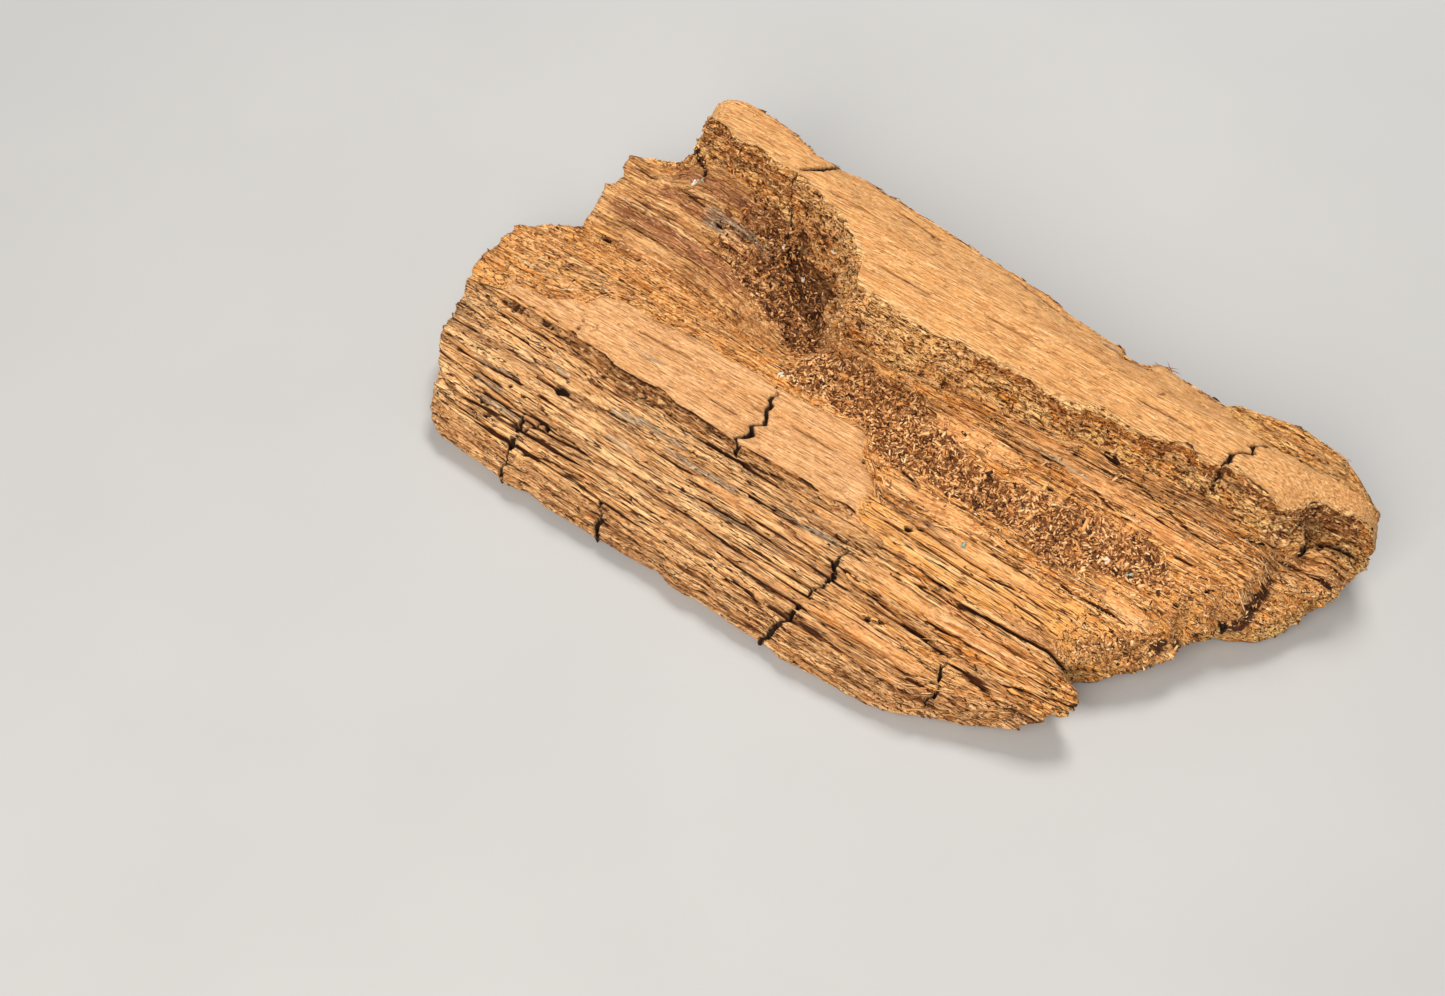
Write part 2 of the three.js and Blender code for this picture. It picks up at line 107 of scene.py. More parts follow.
# Painted board floor, pale grey and slightly mottled, so that it looks neither blank nor patterned
painted_board = new_material("painted_board_matt")
place = add_node(painted_board, "TexCoord", output="Object")
mottle = add_node(painted_board, "TexNoise", {"Vector": place, "Scale": 9.0, "Detail": 5.0})
greys = add_node(painted_board, "ValToRGB", {"Fac": mottle})
greys.node.color_ramp.elements[0].color = hex_colour("#B2B3B4")
greys.node.color_ramp.elements[1].color = hex_colour("#BCBDBE")
look = {"Base Color": greys, "Roughness": 0.62, "IOR": 1.45}
surface = add_node(painted_board, "BsdfPrincipled", look)
add_node(painted_board, "OutputMaterial", {"Surface": surface})

FLOOR_HALF = 3.0
floor_mesh = bpy.data.meshes.new("floor")
corners = [(x * FLOOR_HALF, y * FLOOR_HALF, 0) for x, y in ((-1, -1), (1, -1), (1, 1), (-1, 1))]
floor_mesh.from_pydata(corners, [], [(0, 1, 2, 3)])
floor_mesh.materials.append(painted_board)
floor = bpy.data.objects.new("floor", floor_mesh)
bpy.context.collection.objects.link(floor)

# Soft light: one wide lamp above the far side, a weaker one from the near left, and a pale room
for name, place_m, size_m, watts, tint in (
    ("high_soft_lamp", (-0.25, 0.62, 1.15), 0.42, 12.2, "#FFFAF2"),
    ("low_fill_lamp", (0.15, -0.9, 0.85), 1.0, 16.0, "#FFF6EA"),
):
    lamp_data = bpy.data.lights.new(name, "AREA")
    lamp_data.shape = "SQUARE"
    lamp_data.size = size_m
    lamp_data.energy = watts
    lamp_data.color = hex_colour(tint)[:3]
    lamp = bpy.data.objects.new(name, lamp_data)
    lamp.location = place_m
    lamp.rotation_euler = (-Vector(place_m)).to_track_quat("-Z", "Y").to_euler()
    bpy.context.collection.objects.link(lamp)
room = bpy.data.worlds.new("pale_room")
room.use_nodes = True
room.node_tree.nodes["Background"].inputs["Color"].default_value = hex_colour("#E6EAF0")
room.node_tree.nodes["Background"].inputs["Strength"].default_value = 0.36
bpy.context.scene.world = room


# The slab: one piece of decayed heartwood, split out of a log along the grain. Its skin is a
# surface drawn from lines that run along the grain, then roughened by fibres, cracks and pits.
# All its sizes are millimetres in the drawing's own x and y; ORIGIN_SHIFT puts them in the frame.
ORIGIN_SHIFT = np.array([5.0986, 5.8089, 0.0])
NEAR_WALL_RUN = 5.5
FAR_BULGE = 2.5
UNDER_RELIEF = 2.2

# Where the strands stop at the two broken ends, over the top and under it: pairs of y and x
LEFT_END = [
    (-81, -118), (-77, -124), (-72, -127), (-64, -131), (-58, -136), (-51, -140), (-45, -142),
    (-35, -144), (-32, -146.5), (-26, -148), (-6, -148), (-1, -141), (2, -137), (7, -130),
    (17, -132), (25, -134), (32, -133), (37, -136), (41, -136), (44, -128), (46.5, -119),
    (49, -115.5), (53, -112.5), (60, -112.5), (72, -113),
]
RIGHT_END = [
    (-81, 62), (-72, 69), (-66, 75), (-62, 83), (-58, 87), (-54, 91), (-50, 95), (-46, 94),
    (-43, 87), (-38, 86), (-33, 89.5), (-29, 95), (-24, 103), (-17, 107.5), (-8, 110), (0, 115),
    (6, 122), (14, 127), (21, 130), (30, 134.5), (36, 137), (42, 138), (48, 137), (55, 133),
    (62, 126), (70, 120),
]
LEFT_UNDER = [
    (-80, -114), (-62, -125), (-50, -133), (-38, -139), (-26, -143), (-14, -142), (-2, -134),
    (10, -127), (22, -129), (34, -130), (46, -118), (70, -112),
]
RIGHT_UNDER = [
    (-80, 58), (-70, 67), (-62, 75), (-55, 82), (-50, 84), (-44, 82), (-38, 85), (-31, 92),
    (-23, 97.5), (-18, 101.5), (-9, 102), (-3, 106), (2, 111), (5, 118), (8, 123), (12, 125.5),
    (24, 129), (31, 132), (42, 133.5), (50, 132), (58, 126), (70, 117),
]

# The thin near edge and the thick far edge: pairs of x and y
NEAR_EDGE = [
    (-145, -66), (-130, -74), (-125, -78), (-118, -80), (-99, -81), (-59, -80), (-9, -79.5),
    (31, -79), (49, -77), (58, -73), (72, -67), (81, -62), (90, -59), (140, -56),
]
FAR_EDGE = [
    (-145, 66), (-115, 66), (-101, 67), (-86, 65.5), (-78, 63.5), (-73, 61.5), (-69, 62.5),
    (-53, 64), (-33, 62.5), (7, 60), (22, 58), (31, 56.5), (46, 55.5), (48, 52.5), (56, 53.5),
    (59, 57.5), (67, 57), (81, 54.5), (84, 58), (97, 61), (102, 63.5), (118, 62.5), (130, 59),
    (140, 54),
]


def moved(pairs, shift):
    """The same pairs with the second value raised by shift."""
    return [(a, b + shift) for a, b in pairs]


# Lines along the grain over the upper face, from the near edge to the far one: the pairs of x
# and y, the pairs of x and height, and how many millimetres of surface follow up to the next line
GRAIN_LINES = {
    "near foot": (
        NEAR_EDGE,
        [(-145, 6), (-60, 4), (0, 4), (50, 3.5), (72, 6), (90, 9), (140, 9)],
        12,
    ),
    "near rim": (
        moved(NEAR_EDGE, NEAR_WALL_RUN),
        [(-145, 12), (-110, 13), (-60, 13.5), (0, 13.5), (45, 12.5), (70, 12.5), (90, 13)],
        9,
    ),
    "shoulder of the weathered band": (
        [(-145, -60), (-110, -67), (49, -66), (60, -63.5), (90, -56.5), (140, -52)],
        [(-145, 13), (-110, 15.5), (-20, 16.5), (50, 15), (75, 14.5), (90, 13.5)],
        7,
    ),
    "step beside the long prong": (
        [(-145, -56), (-110, -61), (-40, -62), (49, -60), (60, -57.5), (90, -53), (140, -49)],
        [(-145, 14), (-110, 17), (-20, 17.5), (45, 16.5), (60, 18), (80, 17.5), (94, 14)],
        24,
    ),
    "groove under the smooth ledge": (
        [(-145, -33), (-131, -32.7), (-100, -34), (-98, -35.6), (-60, -36.6), (-35, -38), (15, -38.3),
         (60, -43.5), (95, -45), (140, -44)],
        [(-145, 16), (-125, 19.5), (-100, 20.4), (-85, 19), (-60, 19.2), (-45, 20.3), (-32, 20.9), (10, 21),
         (60, 19.2), (86, 18.5), (95, 14)],
        5,
    ),
    "near edge of the smooth ledge": (
        [(-145, -32), (-131, -31), (-100, -32.2), (-98, -34), (-60, -35), (-35, -36.4), (10, -36.6),
         (60, -40.5), (95, -40), (140, -38)],
        [(-145, 16.5), (-133, 19), (-129, 22), (-100, 23), (-60, 23.7), (8, 24), (12, 22.4), (60, 20.8),
         (80, 18.8), (88, 10), (96, 6)],
        23,
    ),
    "far edge of the smooth ledge": (
        [(-145, -25), (-132, -28), (-116, -27), (-109, -22.3), (-104.5, -21.5), (-102.5, -16), (-92, -14),
         (-60, -12), (-36, -12.6), (-3, -11.6), (1, -19), (10, -27.5), (13, -30), (40, -25), (100, -22),
         (140, -18)],
        [(-145, 17.5), (-133, 20), (-128, 22.6), (-100, 24), (-60, 24.6), (-3, 25), (10, 24.3), (13, 23.2),
         (40, 23), (80, 21.5), (92, 19), (99, 12), (106, 8)],
        3,
    ),
    "foot of the ledge's far edge": (
        [(-145, -23.5), (-132, -26.5), (-116, -25.5), (-109, -20.8), (-104.5, -20), (-102.5, -14.6),
         (-92, -12.6), (-60, -10.6), (-36, -11.2), (-3, -10), (1, -17.4), (10, -26), (13, -28.5),
         (40, -23.5), (100, -20.5), (140, -16.5)],
        [(-145, 17.5), (-133, 19.5), (-120, 21.8), (-100, 23.2), (-60, 23.8), (-3, 24.2), (10, 23.4),
         (13, 22.8), (40, 22.8), (80, 21.8), (96, 19.5), (104, 12), (110, 8)],
        13,
    ),
    "near side of the crumb bed": (
        [(-145, -12), (-100, -7), (-60, -4), (-36, -5), (-20, -8), (4, -9), (10, -14), (20, -16), (40, -17),
         (62, -16.5), (88, -10), (104, -9), (140, -5)],
        [(-145, 18), (-120, 21), (-60, 22.4), (-36, 22.5), (4, 23.6), (40, 23), (88, 23), (103, 22),
         (106.5, 15.5), (114, 9)],
        10,
    ),
    "middle of the crumb bed": (
        [(-145, 0), (-60, 3), (-36, 3), (0, -1), (20, -6), (40, -8), (70, -5), (92, -3), (112, 1),
         (140, 4)],
        [(-145, 18), (-120, 20.5), (-70, 20), (-58, 16.5), (-50, 15), (-42, 17.5), (-32, 21.5), (0, 21.8),
         (40, 21), (88, 22.5), (109, 22.3), (112.5, 14.5), (121, 9)],
        11,
    ),
    "far side of the crumb bed": (
        [(-145, 8), (-120, 10.5), (-90, 10), (-65, 8), (-45, 7), (-30, 9), (0, 8), (24, 3), (38, 1),
         (45, 6), (70, 8), (92, 7), (112, 9), (140, 12)],
        [(-145, 18), (-120, 19), (-90, 20), (-70, 16), (-58, 11), (-48, 10), (-40, 14), (-31, 23),
         (0, 25.2), (40, 24.6), (92, 24.6), (115, 24.8), (118, 15), (127, 9.5)],
        15,
    ),
    "floor of the hollow, and the ridges right of it": (
        [(-145, 26), (-90, 26), (-70, 25), (-58, 21), (-48, 16), (-40, 12), (-34, 10.4), (-28, 10.2),
         (0, 10.5), (20, 9), (40, 9), (70, 14), (104, 16), (118, 18.5), (140, 24)],
        [(-145, 20), (-120, 19.5), (-100, 18), (-80, 15.5), (-68, 11.5), (-58, 8.5), (-48, 7.5), (-41, 9),
         (-35, 16), (-30, 24), (0, 27), (40, 28.3), (90, 28.5), (104, 27.4), (116, 25.8), (118.6, 18),
         (124, 17), (131, 10)],
        18,
    ),
    "foot of the high wall": (
        [(-145, 42), (-121, 43), (-110, 45.5), (-101, 47), (-90, 46), (-78, 44.5), (-72, 42.5), (-65, 37),
         (-58, 32), (-49, 27), (-43, 22), (-38, 17), (-34, 13.2), (-30, 11.6), (-10, 11.6), (1, 12),
         (8, 13.8), (13, 16.4), (19, 17.4), (39, 17), (49, 18.4), (52, 20.8), (69, 20.4), (79, 23),
         (97, 25), (104, 24.4), (114, 25.4), (117, 27), (120, 31), (124, 34), (128, 36), (134, 39),
         (140, 40)],
        [(-145, 20), (-124, 21), (-117, 23), (-110, 29), (-101, 31), (-90, 30), (-80, 27), (-72, 21),
         (-65, 14.5), (-58, 10.5), (-49, 8.8), (-43, 9.4), (-38, 14), (-34, 21), (-30, 27), (0, 29.5),
         (40, 31), (80, 31.4), (104, 30.5), (113, 28.5), (116.5, 25), (119, 19.5), (122, 17), (128, 19),
         (134, 17), (140, 9)],
        16,
    ),
    "break in the high wall": (
        [(-145, 50), (-117, 51), (-110, 49.4), (-101, 48.2), (-90, 47.2), (-78, 46), (-70, 44.6), (-65, 42),
         (-58, 38.5), (-49, 34.5), (-43, 30), (-38, 24.5), (-34, 17.5), (-31, 13.2), (-10, 14), (1, 14.6),
         (9, 17), (13, 19), (19, 21.4), (39, 20.6), (49, 21.8), (52, 24.4), (69, 24), (79, 26.6),
         (97, 28.8), (104, 27.8), (113, 28.6), (116, 33), (118.5, 41), (122, 45), (128, 47.5), (134, 49),
         (140, 48)],
        [(-145, 20), (-118, 24), (-113.5, 32), (-110, 38), (-101, 39.5), (-78, 38), (-70, 33), (-65, 28),
         (-58, 24), (-49, 23), (-43, 24), (-38, 28), (-34, 34), (-30, 41), (8, 42), (12, 39), (60, 39),
         (104, 38), (114, 34.5), (116, 31), (118.5, 25), (122, 21), (130, 21), (134, 20), (140, 9)],
        14,
    ),
    "top of the high wall": (
        [(-145, 59), (-117, 58), (-113.5, 55.5), (-108.5, 51.7), (-102.5, 49.4), (-90, 48.4), (-78, 47.4),
         (-70, 46.6), (-66, 45.4), (-58, 43.4), (-51, 41.2), (-46, 38.4), (-41, 35.4), (-36, 32),
         (-33.5, 28), (-32, 22), (-30, 19), (-11, 18.4), (1, 18.6), (9, 19.4), (14, 18.8), (19, 20.2),
         (39, 19.2), (49, 20.6), (52, 23), (69, 22.6), (79, 25.2), (97, 27.4), (104, 26.4), (114, 27.6),
         (116, 31), (118, 36.5), (121, 39.6), (126, 42), (130, 44), (134, 46.5), (140, 48)],
        [(-145, 22), (-116, 30), (-114, 40), (-110, 45.5), (-102, 47), (-40, 46.4), (9, 46.4), (60, 46),
         (97, 45), (110, 43), (114, 40.5), (118, 38.8), (124, 37), (130, 35), (134, 31), (136, 27),
         (140, 14)],
        20,
    ),
    "crown of the smooth plank": (
        [(-145, 62), (-115, 60), (-100, 57.5), (-78, 54), (-60, 51), (-40, 44), (-20, 39), (60, 38.5),
         (100, 41), (114, 43), (124, 47), (130, 50), (134, 51.2), (140, 51.8)],
        [(-145, 28), (-118, 36), (-114, 43.5), (-108, 45), (-70, 46.4), (-20, 47.2), (60, 46.2), (96, 44),
         (112, 41.4), (118, 39.6), (124, 37.6), (130, 35), (134, 31), (137, 25), (140, 14)],
        18,
    ),
    "far rim": (
        moved(FAR_EDGE, -3),
        [(-145, 26), (-118, 36), (-113, 43.5), (-108, 45), (-77, 45), (-64, 42.5), (-20, 40.5), (60, 38.5),
         (80, 38), (100, 36), (120, 33), (130, 28), (137, 20), (140, 12)],
        6,
    ),
    "far edge": (
        FAR_EDGE,
        [(-145, 22), (-118, 31), (-112, 40), (-77, 41), (-64, 38), (-20, 36), (60, 34), (80, 33.5),
         (100, 32), (120, 29), (130, 24), (140, 9)],
        13,
    ),
    "layered far wall": (
        moved(FAR_EDGE, FAR_BULGE),
        [(-145, 14), (-112, 22), (-20, 23), (60, 21), (120, 18), (140, 7)],
        13,
    ),
    "lower far wall": (
        moved(FAR_EDGE, 0.6 * FAR_BULGE),
        [(-145, 8), (-112, 10), (60, 10), (120, 8), (140, 5)],
        0,
    ),
}
LINE_NAMES = list(GRAIN_LINES)

# Flat pads the slab lies on: x, y, half length along the grain, half width
PADS = [(-92, 20, 17, 12), (-70, -52, 22, 12), (42, -48, 20, 11), (-5, 8, 26, 15), (98, 30, 15, 13)]

# Spacing of the skin's points: along the grain, across it, and across the underside
GRAIN_STEP = 0.64
CROSS_STEP = 0.34
UNDER_STEP = 1.7
UNDER_WIDTH = 137
NEAR_INSET, FAR_INSET = 2.5, 2
# The stations lie evenly, apart from those beyond the two spreads, which are drawn to the ends
FIRST_STATION, LAST_STATION = -140, 136
LEFT_SPREAD, RIGHT_SPREAD = -105, 45
MEETING_STEPS = 40

# Grain lines that are torn edges: the line that each strays together with, and how far it strays
TORN_LINES = {
    0: (0, 0.9), 1: (0, 0.9), 4: (5, 1.1), 5: (5, 1.1), 6: (6, 1.3), 7: (6, 1.3), 12: (12, 1.0),
    13: (13, 1.3), 14: (14, 1.3), 16: (16, 0.6), 17: (16, 0.6), 18: (16, 0.5),
}


def along(pairs, v, soft=0.0):
    """Value at v: straight runs between the pairs, averaged over soft either side to round them."""
    places, values = np.array(pairs, float).T
    shifts = np.linspace(-soft, soft, 5) if soft else [0.0]
    return sum(np.interp(v + shift, places, values) for shift in shifts) / len(shifts)


def grain_noise(x, y, z, seed):
    """Smooth noise from -1 to 1: a block of random numbers, read between its eight nearest cells
    with an S-shaped share along each way."""
    table = np.random.default_rng(seed).uniform(-1, 1, (64, 64, 64))
    cells, shares = [], []
    for v in np.broadcast_arrays(x, y, z):
        low = np.floor(v)
        part = v - low
        cells.append(low.astype(int))
        shares.append(part * part * (3 - 2 * part))
    total = 0.0
    for corner in itertools.product((0, 1), repeat=3):
        weight = 1.0
        for side, share in zip(corner, shares):
            weight = weight * (share if side else 1 - share)
        i, j, k = [(cell + side) % 64 for cell, side in zip(cells, corner)]
        total = total + weight * table[i, j, k]
    return total


def smooth_step(low, high, v):
    """0 below low, 1 above high, an S-shaped rise between."""
    t = np.clip((v - low) / (high - low), 0, 1)
    return t * t * (3 - 2 * t)


def terraces(v, count, edge):
    """Rise from 0 to 1 in level treads, with a riser over the given share of each."""
    scaled = v * count
    tread = np.floor(scaled)
    return (tread + smooth_step(1 - edge, 1, scaled - tread)) / count


def torn_edge(x, seed, reach):
    """How far a torn edge strays at x: it keeps to the grain for a while, then jumps across."""
    level = 0.5 + 0.5 * grain_noise(x / 8, seed * 0.37, 0.5, 11)
    jumps = terraces(level, 8, 0.15) - 0.5
    nibbled = grain_noise(x / 1.9, seed * 0.71, 0.5, 12)
    return reach * (2.4 * jumps + 0.28 * nibbled)


def line_place(number, x):
    """y and height of a grain line at x, with its y strayed as a torn edge does."""
    ys, zs, _ = GRAIN_LINES[LINE_NAMES[number]]
    seed, reach = TORN_LINES.get(number, (number, 0.3))
    return along(ys, x, 0.7) + torn_edge(x, seed, reach), along(zs, x, 1.4)


def surface_columns():
    """Grain line number and share of each column over the upper face, near foot to far foot."""
    numbers, shares = [], []
    for k, name in enumerate(LINE_NAMES):
        count = max(1, round(GRAIN_LINES[name][2] / CROSS_STEP))
        numbers += [min(k, len(LINE_NAMES) - 2)] * count
        last = k == len(LINE_NAMES) - 1
        shares += [1.0] if last else list(np.arange(count) / count)
    return np.array(numbers), np.array(shares)


def upper_place(x, numbers, shares):
    """y and height of the columns at x: each lies between two grain lines by its share."""
    y, z = np.zeros(x.shape), np.zeros(x.shape)
    for k in range(len(LINE_NAMES) - 1):
        mine = numbers == k
        low_y, low_z = line_place(k, x[..., mine])
        high_y, high_z = line_place(k + 1, x[..., mine])
        y[..., mine] = low_y + (high_y - low_y) * shares[mine]
        z[..., mine] = low_z + (high_z - low_z) * shares[mine]
    return y, z


def under_place(x, shares):
    """y and height of the underside's columns at x: an even spread between the two edges, and
    shallow relief that is cut off level over the pads."""
    near = along(NEAR_EDGE, x, 1.0) + NEAR_INSET
    far = along(FAR_EDGE, x, 1.0) - FAR_INSET
    y = near + (far - near) * shares
    z = UNDER_RELIEF * (0.75 + 0.5 * grain_noise(x / 17, y / 8, 0.3, 21))
    z = z + UNDER_RELIEF * 0.35 * grain_noise(x / 7, y / 3, 0.3, 22)
    for px, py, a, b in PADS:
        out = np.maximum(abs(x - px) - a, abs(y - py) - b)
        z = np.minimum(z, np.maximum(0, 0.35 * out))
    return y, np.maximum(z, 0)


def column_ends(outline, place, start, count):
    """Where each column meets an end's outline, found by stepping part of the way over and over,
    then broken off strand by strand."""
    x = np.full(count, float(start))
    for _ in range(MEETING_STEPS):
        y = place(x)[0]
        x = x + 0.35 * (along(outline, y) - x)
    strand = terraces(0.5 + 0.5 * grain_noise(0.5, y / 2.6, 0.5, 31), 5, 0.2) - 0.5
    return x + 3.6 * strand + 0.7 * grain_noise(0.5, y / 0.9, 0.5, 32)


def station_grid(left, right):
    """x of every station on every column: true in the middle, and drawn towards its own ends."""
    nominal = np.linspace(
        FIRST_STATION, LAST_STATION, round((LAST_STATION - FIRST_STATION) / GRAIN_STEP)
    )[:, None]
    left_share = (nominal - LEFT_SPREAD) / (FIRST_STATION - LEFT_SPREAD)
    right_share = (nominal - RIGHT_SPREAD) / (LAST_STATION - RIGHT_SPREAD)
    head = LEFT_SPREAD + left_share * (left - LEFT_SPREAD)
    tail = RIGHT_SPREAD + right_share * (right - RIGHT_SPREAD)
    return np.where(nominal < LEFT_SPREAD, head, np.where(nominal > RIGHT_SPREAD, tail, nominal))


numbers, shares = surface_columns()
upper_count = len(numbers)
left_ends = column_ends(LEFT_END, lambda x: upper_place(x, numbers, shares), -130, upper_count)
right_ends = column_ends(RIGHT_END, lambda x: upper_place(x, numbers, shares), 100, upper_count)
upper_x = station_grid(left_ends, right_ends)
upper_y, upper_z = upper_place(upper_x, numbers, shares)
# Grain line number plus the share of the way to the next, which tells the kinds of wood apart
upper_v = np.broadcast_to(numbers + shares, upper_x.shape)

under_count = round(UNDER_WIDTH / UNDER_STEP)
under_shares = 1 - (np.arange(under_count) + 0.5) / under_count
under_left = column_ends(LEFT_UNDER, lambda x: under_place(x, under_shares), -125, under_count)
under_right = column_ends(RIGHT_UNDER, lambda x: under_place(x, under_shares), 95, under_count)
under_x = station_grid(under_left, under_right)
under_y, under_z = under_place(under_x, under_shares)



def flat_noise(length, width, seed, over=upper_y):
    """Noise over the upper face: patches of a length along the grain and a width across it."""
    return grain_noise(upper_x / length, over / width, 0.5, seed)


def solid_noise(length, width, seed):
    """Noise through the wood: clots of a length along the grain and a width both other ways."""
    return grain_noise(upper_x / length, upper_y / width, upper_z / width, seed)


def channel(off_middle, half, steepness):
    """1 along the middle of a channel, falling straight to 0 at half its width."""
    return np.clip(steepness * (1 - abs(off_middle) / half), 0, 1)


# Edges on the upper face as pairs of x and y: of the crumb bed, and of the layer on the far side
CRUMB_FAR_EDGE = [
    (-38, 8), (-23, 11), (-8, 10), (4, 9), (14, 5), (24, 2.4), (30, -0.5), (40, -0.5), (47, 3),
    (58, 5), (74, 6.4), (87, 7), (94, 2), (97, -2),
]
CRUMB_NEAR_EDGE = [
    (-38, -7), (-29, -9.5), (-20, -8), (-3, -12.5), (1, -16), (8, -14), (21, -15.3), (32, -15.5),
    (44, -13.4), (54, -13.6), (62, -18.5), (72, -15.8), (82, -11.4), (88, -9.8), (97, -3),
]
FAR_SEAM = [
    (70, 64), (79.6, 52.2), (88.8, 46.4), (94.9, 43.7), (99.6, 44), (106, 45.8), (113.6, 47.9),
    (124, 48.5), (140, 49),
]
ragged = 1.2 * flat_noise(4, 2.5, 35) + 0.7 * flat_noise(1.6, 1.1, 36)


def region(*edges):
    """Share of a kind of wood from 0 to 1: the product of S-shaped rises, each given as the values
    it readings, where it sets in, where it is full, and how far the ragged noise shifts it."""
    share = 1.0
    for values, sets_in, full, shift in edges:
        share = share * smooth_step(sets_in, full, values + shift * ragged)
    return share


far_layer = region(
    (upper_y - along(FAR_SEAM, upper_x), -0.3, 0.3, 0.5), (upper_x, 70, 78, 0), (upper_v, 13.9, 14.1, 0)
)
# Where the smooth plank breaks off at its right end: pairs of y and x
PLANK_END = [(20, 112.6), (27, 113), (31, 114.5), (35, 117.5), (38, 119), (39, 140)]
past_plank = upper_x - along(PLANK_END, upper_y)
smooth_plank = region(
    (upper_v, 13.95, 14.05, 0.02), (upper_v, 16.35, 15.9, 0.15), (past_plank, 0.3, -0.3, 0.5)
)
smooth_plank = smooth_plank * (1 - far_layer)
ledge_span = region((upper_x, -132, -130, 0), (upper_x, 11, 9, 0.6))
smooth_ledge = region((upper_v, 4.85, 4.97, 0), (upper_v, 6.04, 5.97, 0)) * ledge_span
weathered_band = region((upper_v, 0.8, 1.1, 0), (upper_v, 4.75, 4.5, 0))
from_ledge = upper_y - along(GRAIN_LINES["near edge of the smooth ledge"][0], upper_x)
# The strip under the ledge's near edge: it sinks and crumbles, and its darker brown is painted shade
shaded_under_ledge = region((upper_v, 4.97, 4.85, 0), (from_ledge, -4.6, -2.6, 0.5)) * ledge_span
shaded_under_ledge = shaded_under_ledge * (0.6 + 0.4 * smooth_step(-26, -42, upper_x))
in_crumbs = np.minimum.reduce([
    along(CRUMB_FAR_EDGE, upper_x) - upper_y, upper_y - along(CRUMB_NEAR_EDGE, upper_x), upper_x + 38,
    97 - upper_x,
])
crumb_bed = region((in_crumbs, -0.8, 2.2, 1.6), (upper_v, 7.2, 7.5, 0), (upper_v, 11.9, 11.6, 0))
strewn = region((in_crumbs, -6, 3, 2.5), (upper_v, 7, 7.3, 0), (upper_v, 12.4, 12, 0))
ridges = region((upper_v, 6, 7, 0), (upper_v, 12, 11.8, 0))
rust = region((upper_x, 5, 45, 3), (upper_v, 5, 4, 0))
rust = np.maximum.reduce([rust, 0.8 * ridges, 0.9 * far_layer])
trough = region((upper_v, 9.6, 10.2, 0), (upper_v, 12.1, 11.9, 0), (upper_x, -42, -52, 0))
# Near edge of the dark crumbs in the hollow: pairs of x and y
DEBRIS_NEAR_EDGE = [(-80, 23), (-67, 20), (-57, 15.5), (-48, 12.5), (-40, 11.5)]
debris = region(
    (upper_y - along(DEBRIS_NEAR_EDGE, upper_x), -4.5, 3.5, 3), (upper_v, 9.3, 9.8, 0),
    (upper_v, 12.5, 12.1, 0), (upper_x, -39, -43, 1), (upper_x, -96, -68, 6),
)
high_wall = region((upper_v, 11.95, 12.1, 0), (upper_v, 14.02, 13.96, 0))
near_wall = smooth_step(1.15, 0.85, upper_v)
far_wall = smooth_step(16.2, 16.7, upper_v)
rough_wall = np.maximum.reduce([high_wall, near_wall, far_wall, 0.5 * far_layer])
outer_sides = np.maximum(0.7 * near_wall, far_wall)

# Where the ridges right of the crumbs break off across the grain: pairs of y and x
SCARP = [(-20, 100), (-12.1, 105.2), (-7.3, 108.8), (2.7, 115.3), (6.8, 116.7), (16.2, 116.8), (27, 117)]
past_scarp = upper_x - along(SCARP, upper_y) + 0.5 * ragged
# The sunken place below the scarp, given painted shade in patches that follow its lumps
recess_shade = region(
    (past_scarp, 0, 1, 0), (past_scarp, 5, 2.5, 0), (upper_v, 6.6, 7.2, 0), (upper_v, 12, 11.4, 0)
)
# Painted shade in the hollow under the plank's near edge, and a weaker painted shade on the block's near
# wall
niche_shade = region((upper_x, 8, 16, 0), (upper_v, 12.9, 13.35, 0.1), (upper_v, 13.93, 13.75, 0.05))
block_wall = region(
    (upper_v, 12.4, 13.4, 0.1), (upper_v, 13.95, 13.85, 0), (upper_x, -116, -112, 0),
    (upper_x, -70, -73, 0),
)
niche_shade = np.maximum(niche_shade, 0.62 * block_wall)
# Crumbly top edges of the high wall, its lower tread and the bowl's rim: their paleness is a painted
# highlight
rim_highlight = region((upper_v, 13.8, 13.95, 0), (upper_v, 14.1, 14.03, -0.03))
lower_tread = region(
    (upper_v, 12.9, 13.1, 0), (upper_v, 14.02, 13.97, 0), (upper_x, -34, -31, 0), (upper_x, 15, 12, 0)
)
bowl_rim = region(
    (upper_v, 13.3, 13.6, 0.1), (upper_v, 14.05, 14, 0), (upper_x, -74, -70, 0), (upper_x, -30, -36, 0)
)
rim_highlight = np.maximum.reduce([rim_highlight, lower_tread, 0.8 * bowl_rim])
bowl = region(
    (upper_v, 12.1, 12.5, 0.1), (upper_v, 13.5, 13.2, 0.1), (upper_x, -71, -69, 0.5),
    (upper_x, -38, -46, 1),
)
pocket = region(
    (upper_v, 11.6, 12, 0.1), (upper_v, 13.05, 12.6, 0.1), (upper_x, -70, -66, 1),
    (upper_x, -42, -47, 1),
)
# Painted shade in the deep hollow of the broken corner, and in the bowl's pocket
shaded_cave = region(
    (upper_x, 115.5, 118, 0.5), (upper_x, 134, 129.5, 0), (upper_v, 12.15, 12.6, 0.06),
    (upper_v, 13.97, 13.8, 0),
)
shaded_cave = np.maximum(shaded_cave, 0.8 * pocket)
from_corner = np.hypot((upper_x - 95) / 14, (upper_y + 27) / 11)
olive = region((from_corner, 1.15, 0.75, 0.1), (upper_z, 18.5, 15.5, 0), (upper_v, 4.5, 5.2, 0))
loose_wood = region((upper_v, 5.9, 6.3, 0), (upper_v, 12.1, 11.9, 0)) * (1 - trough)

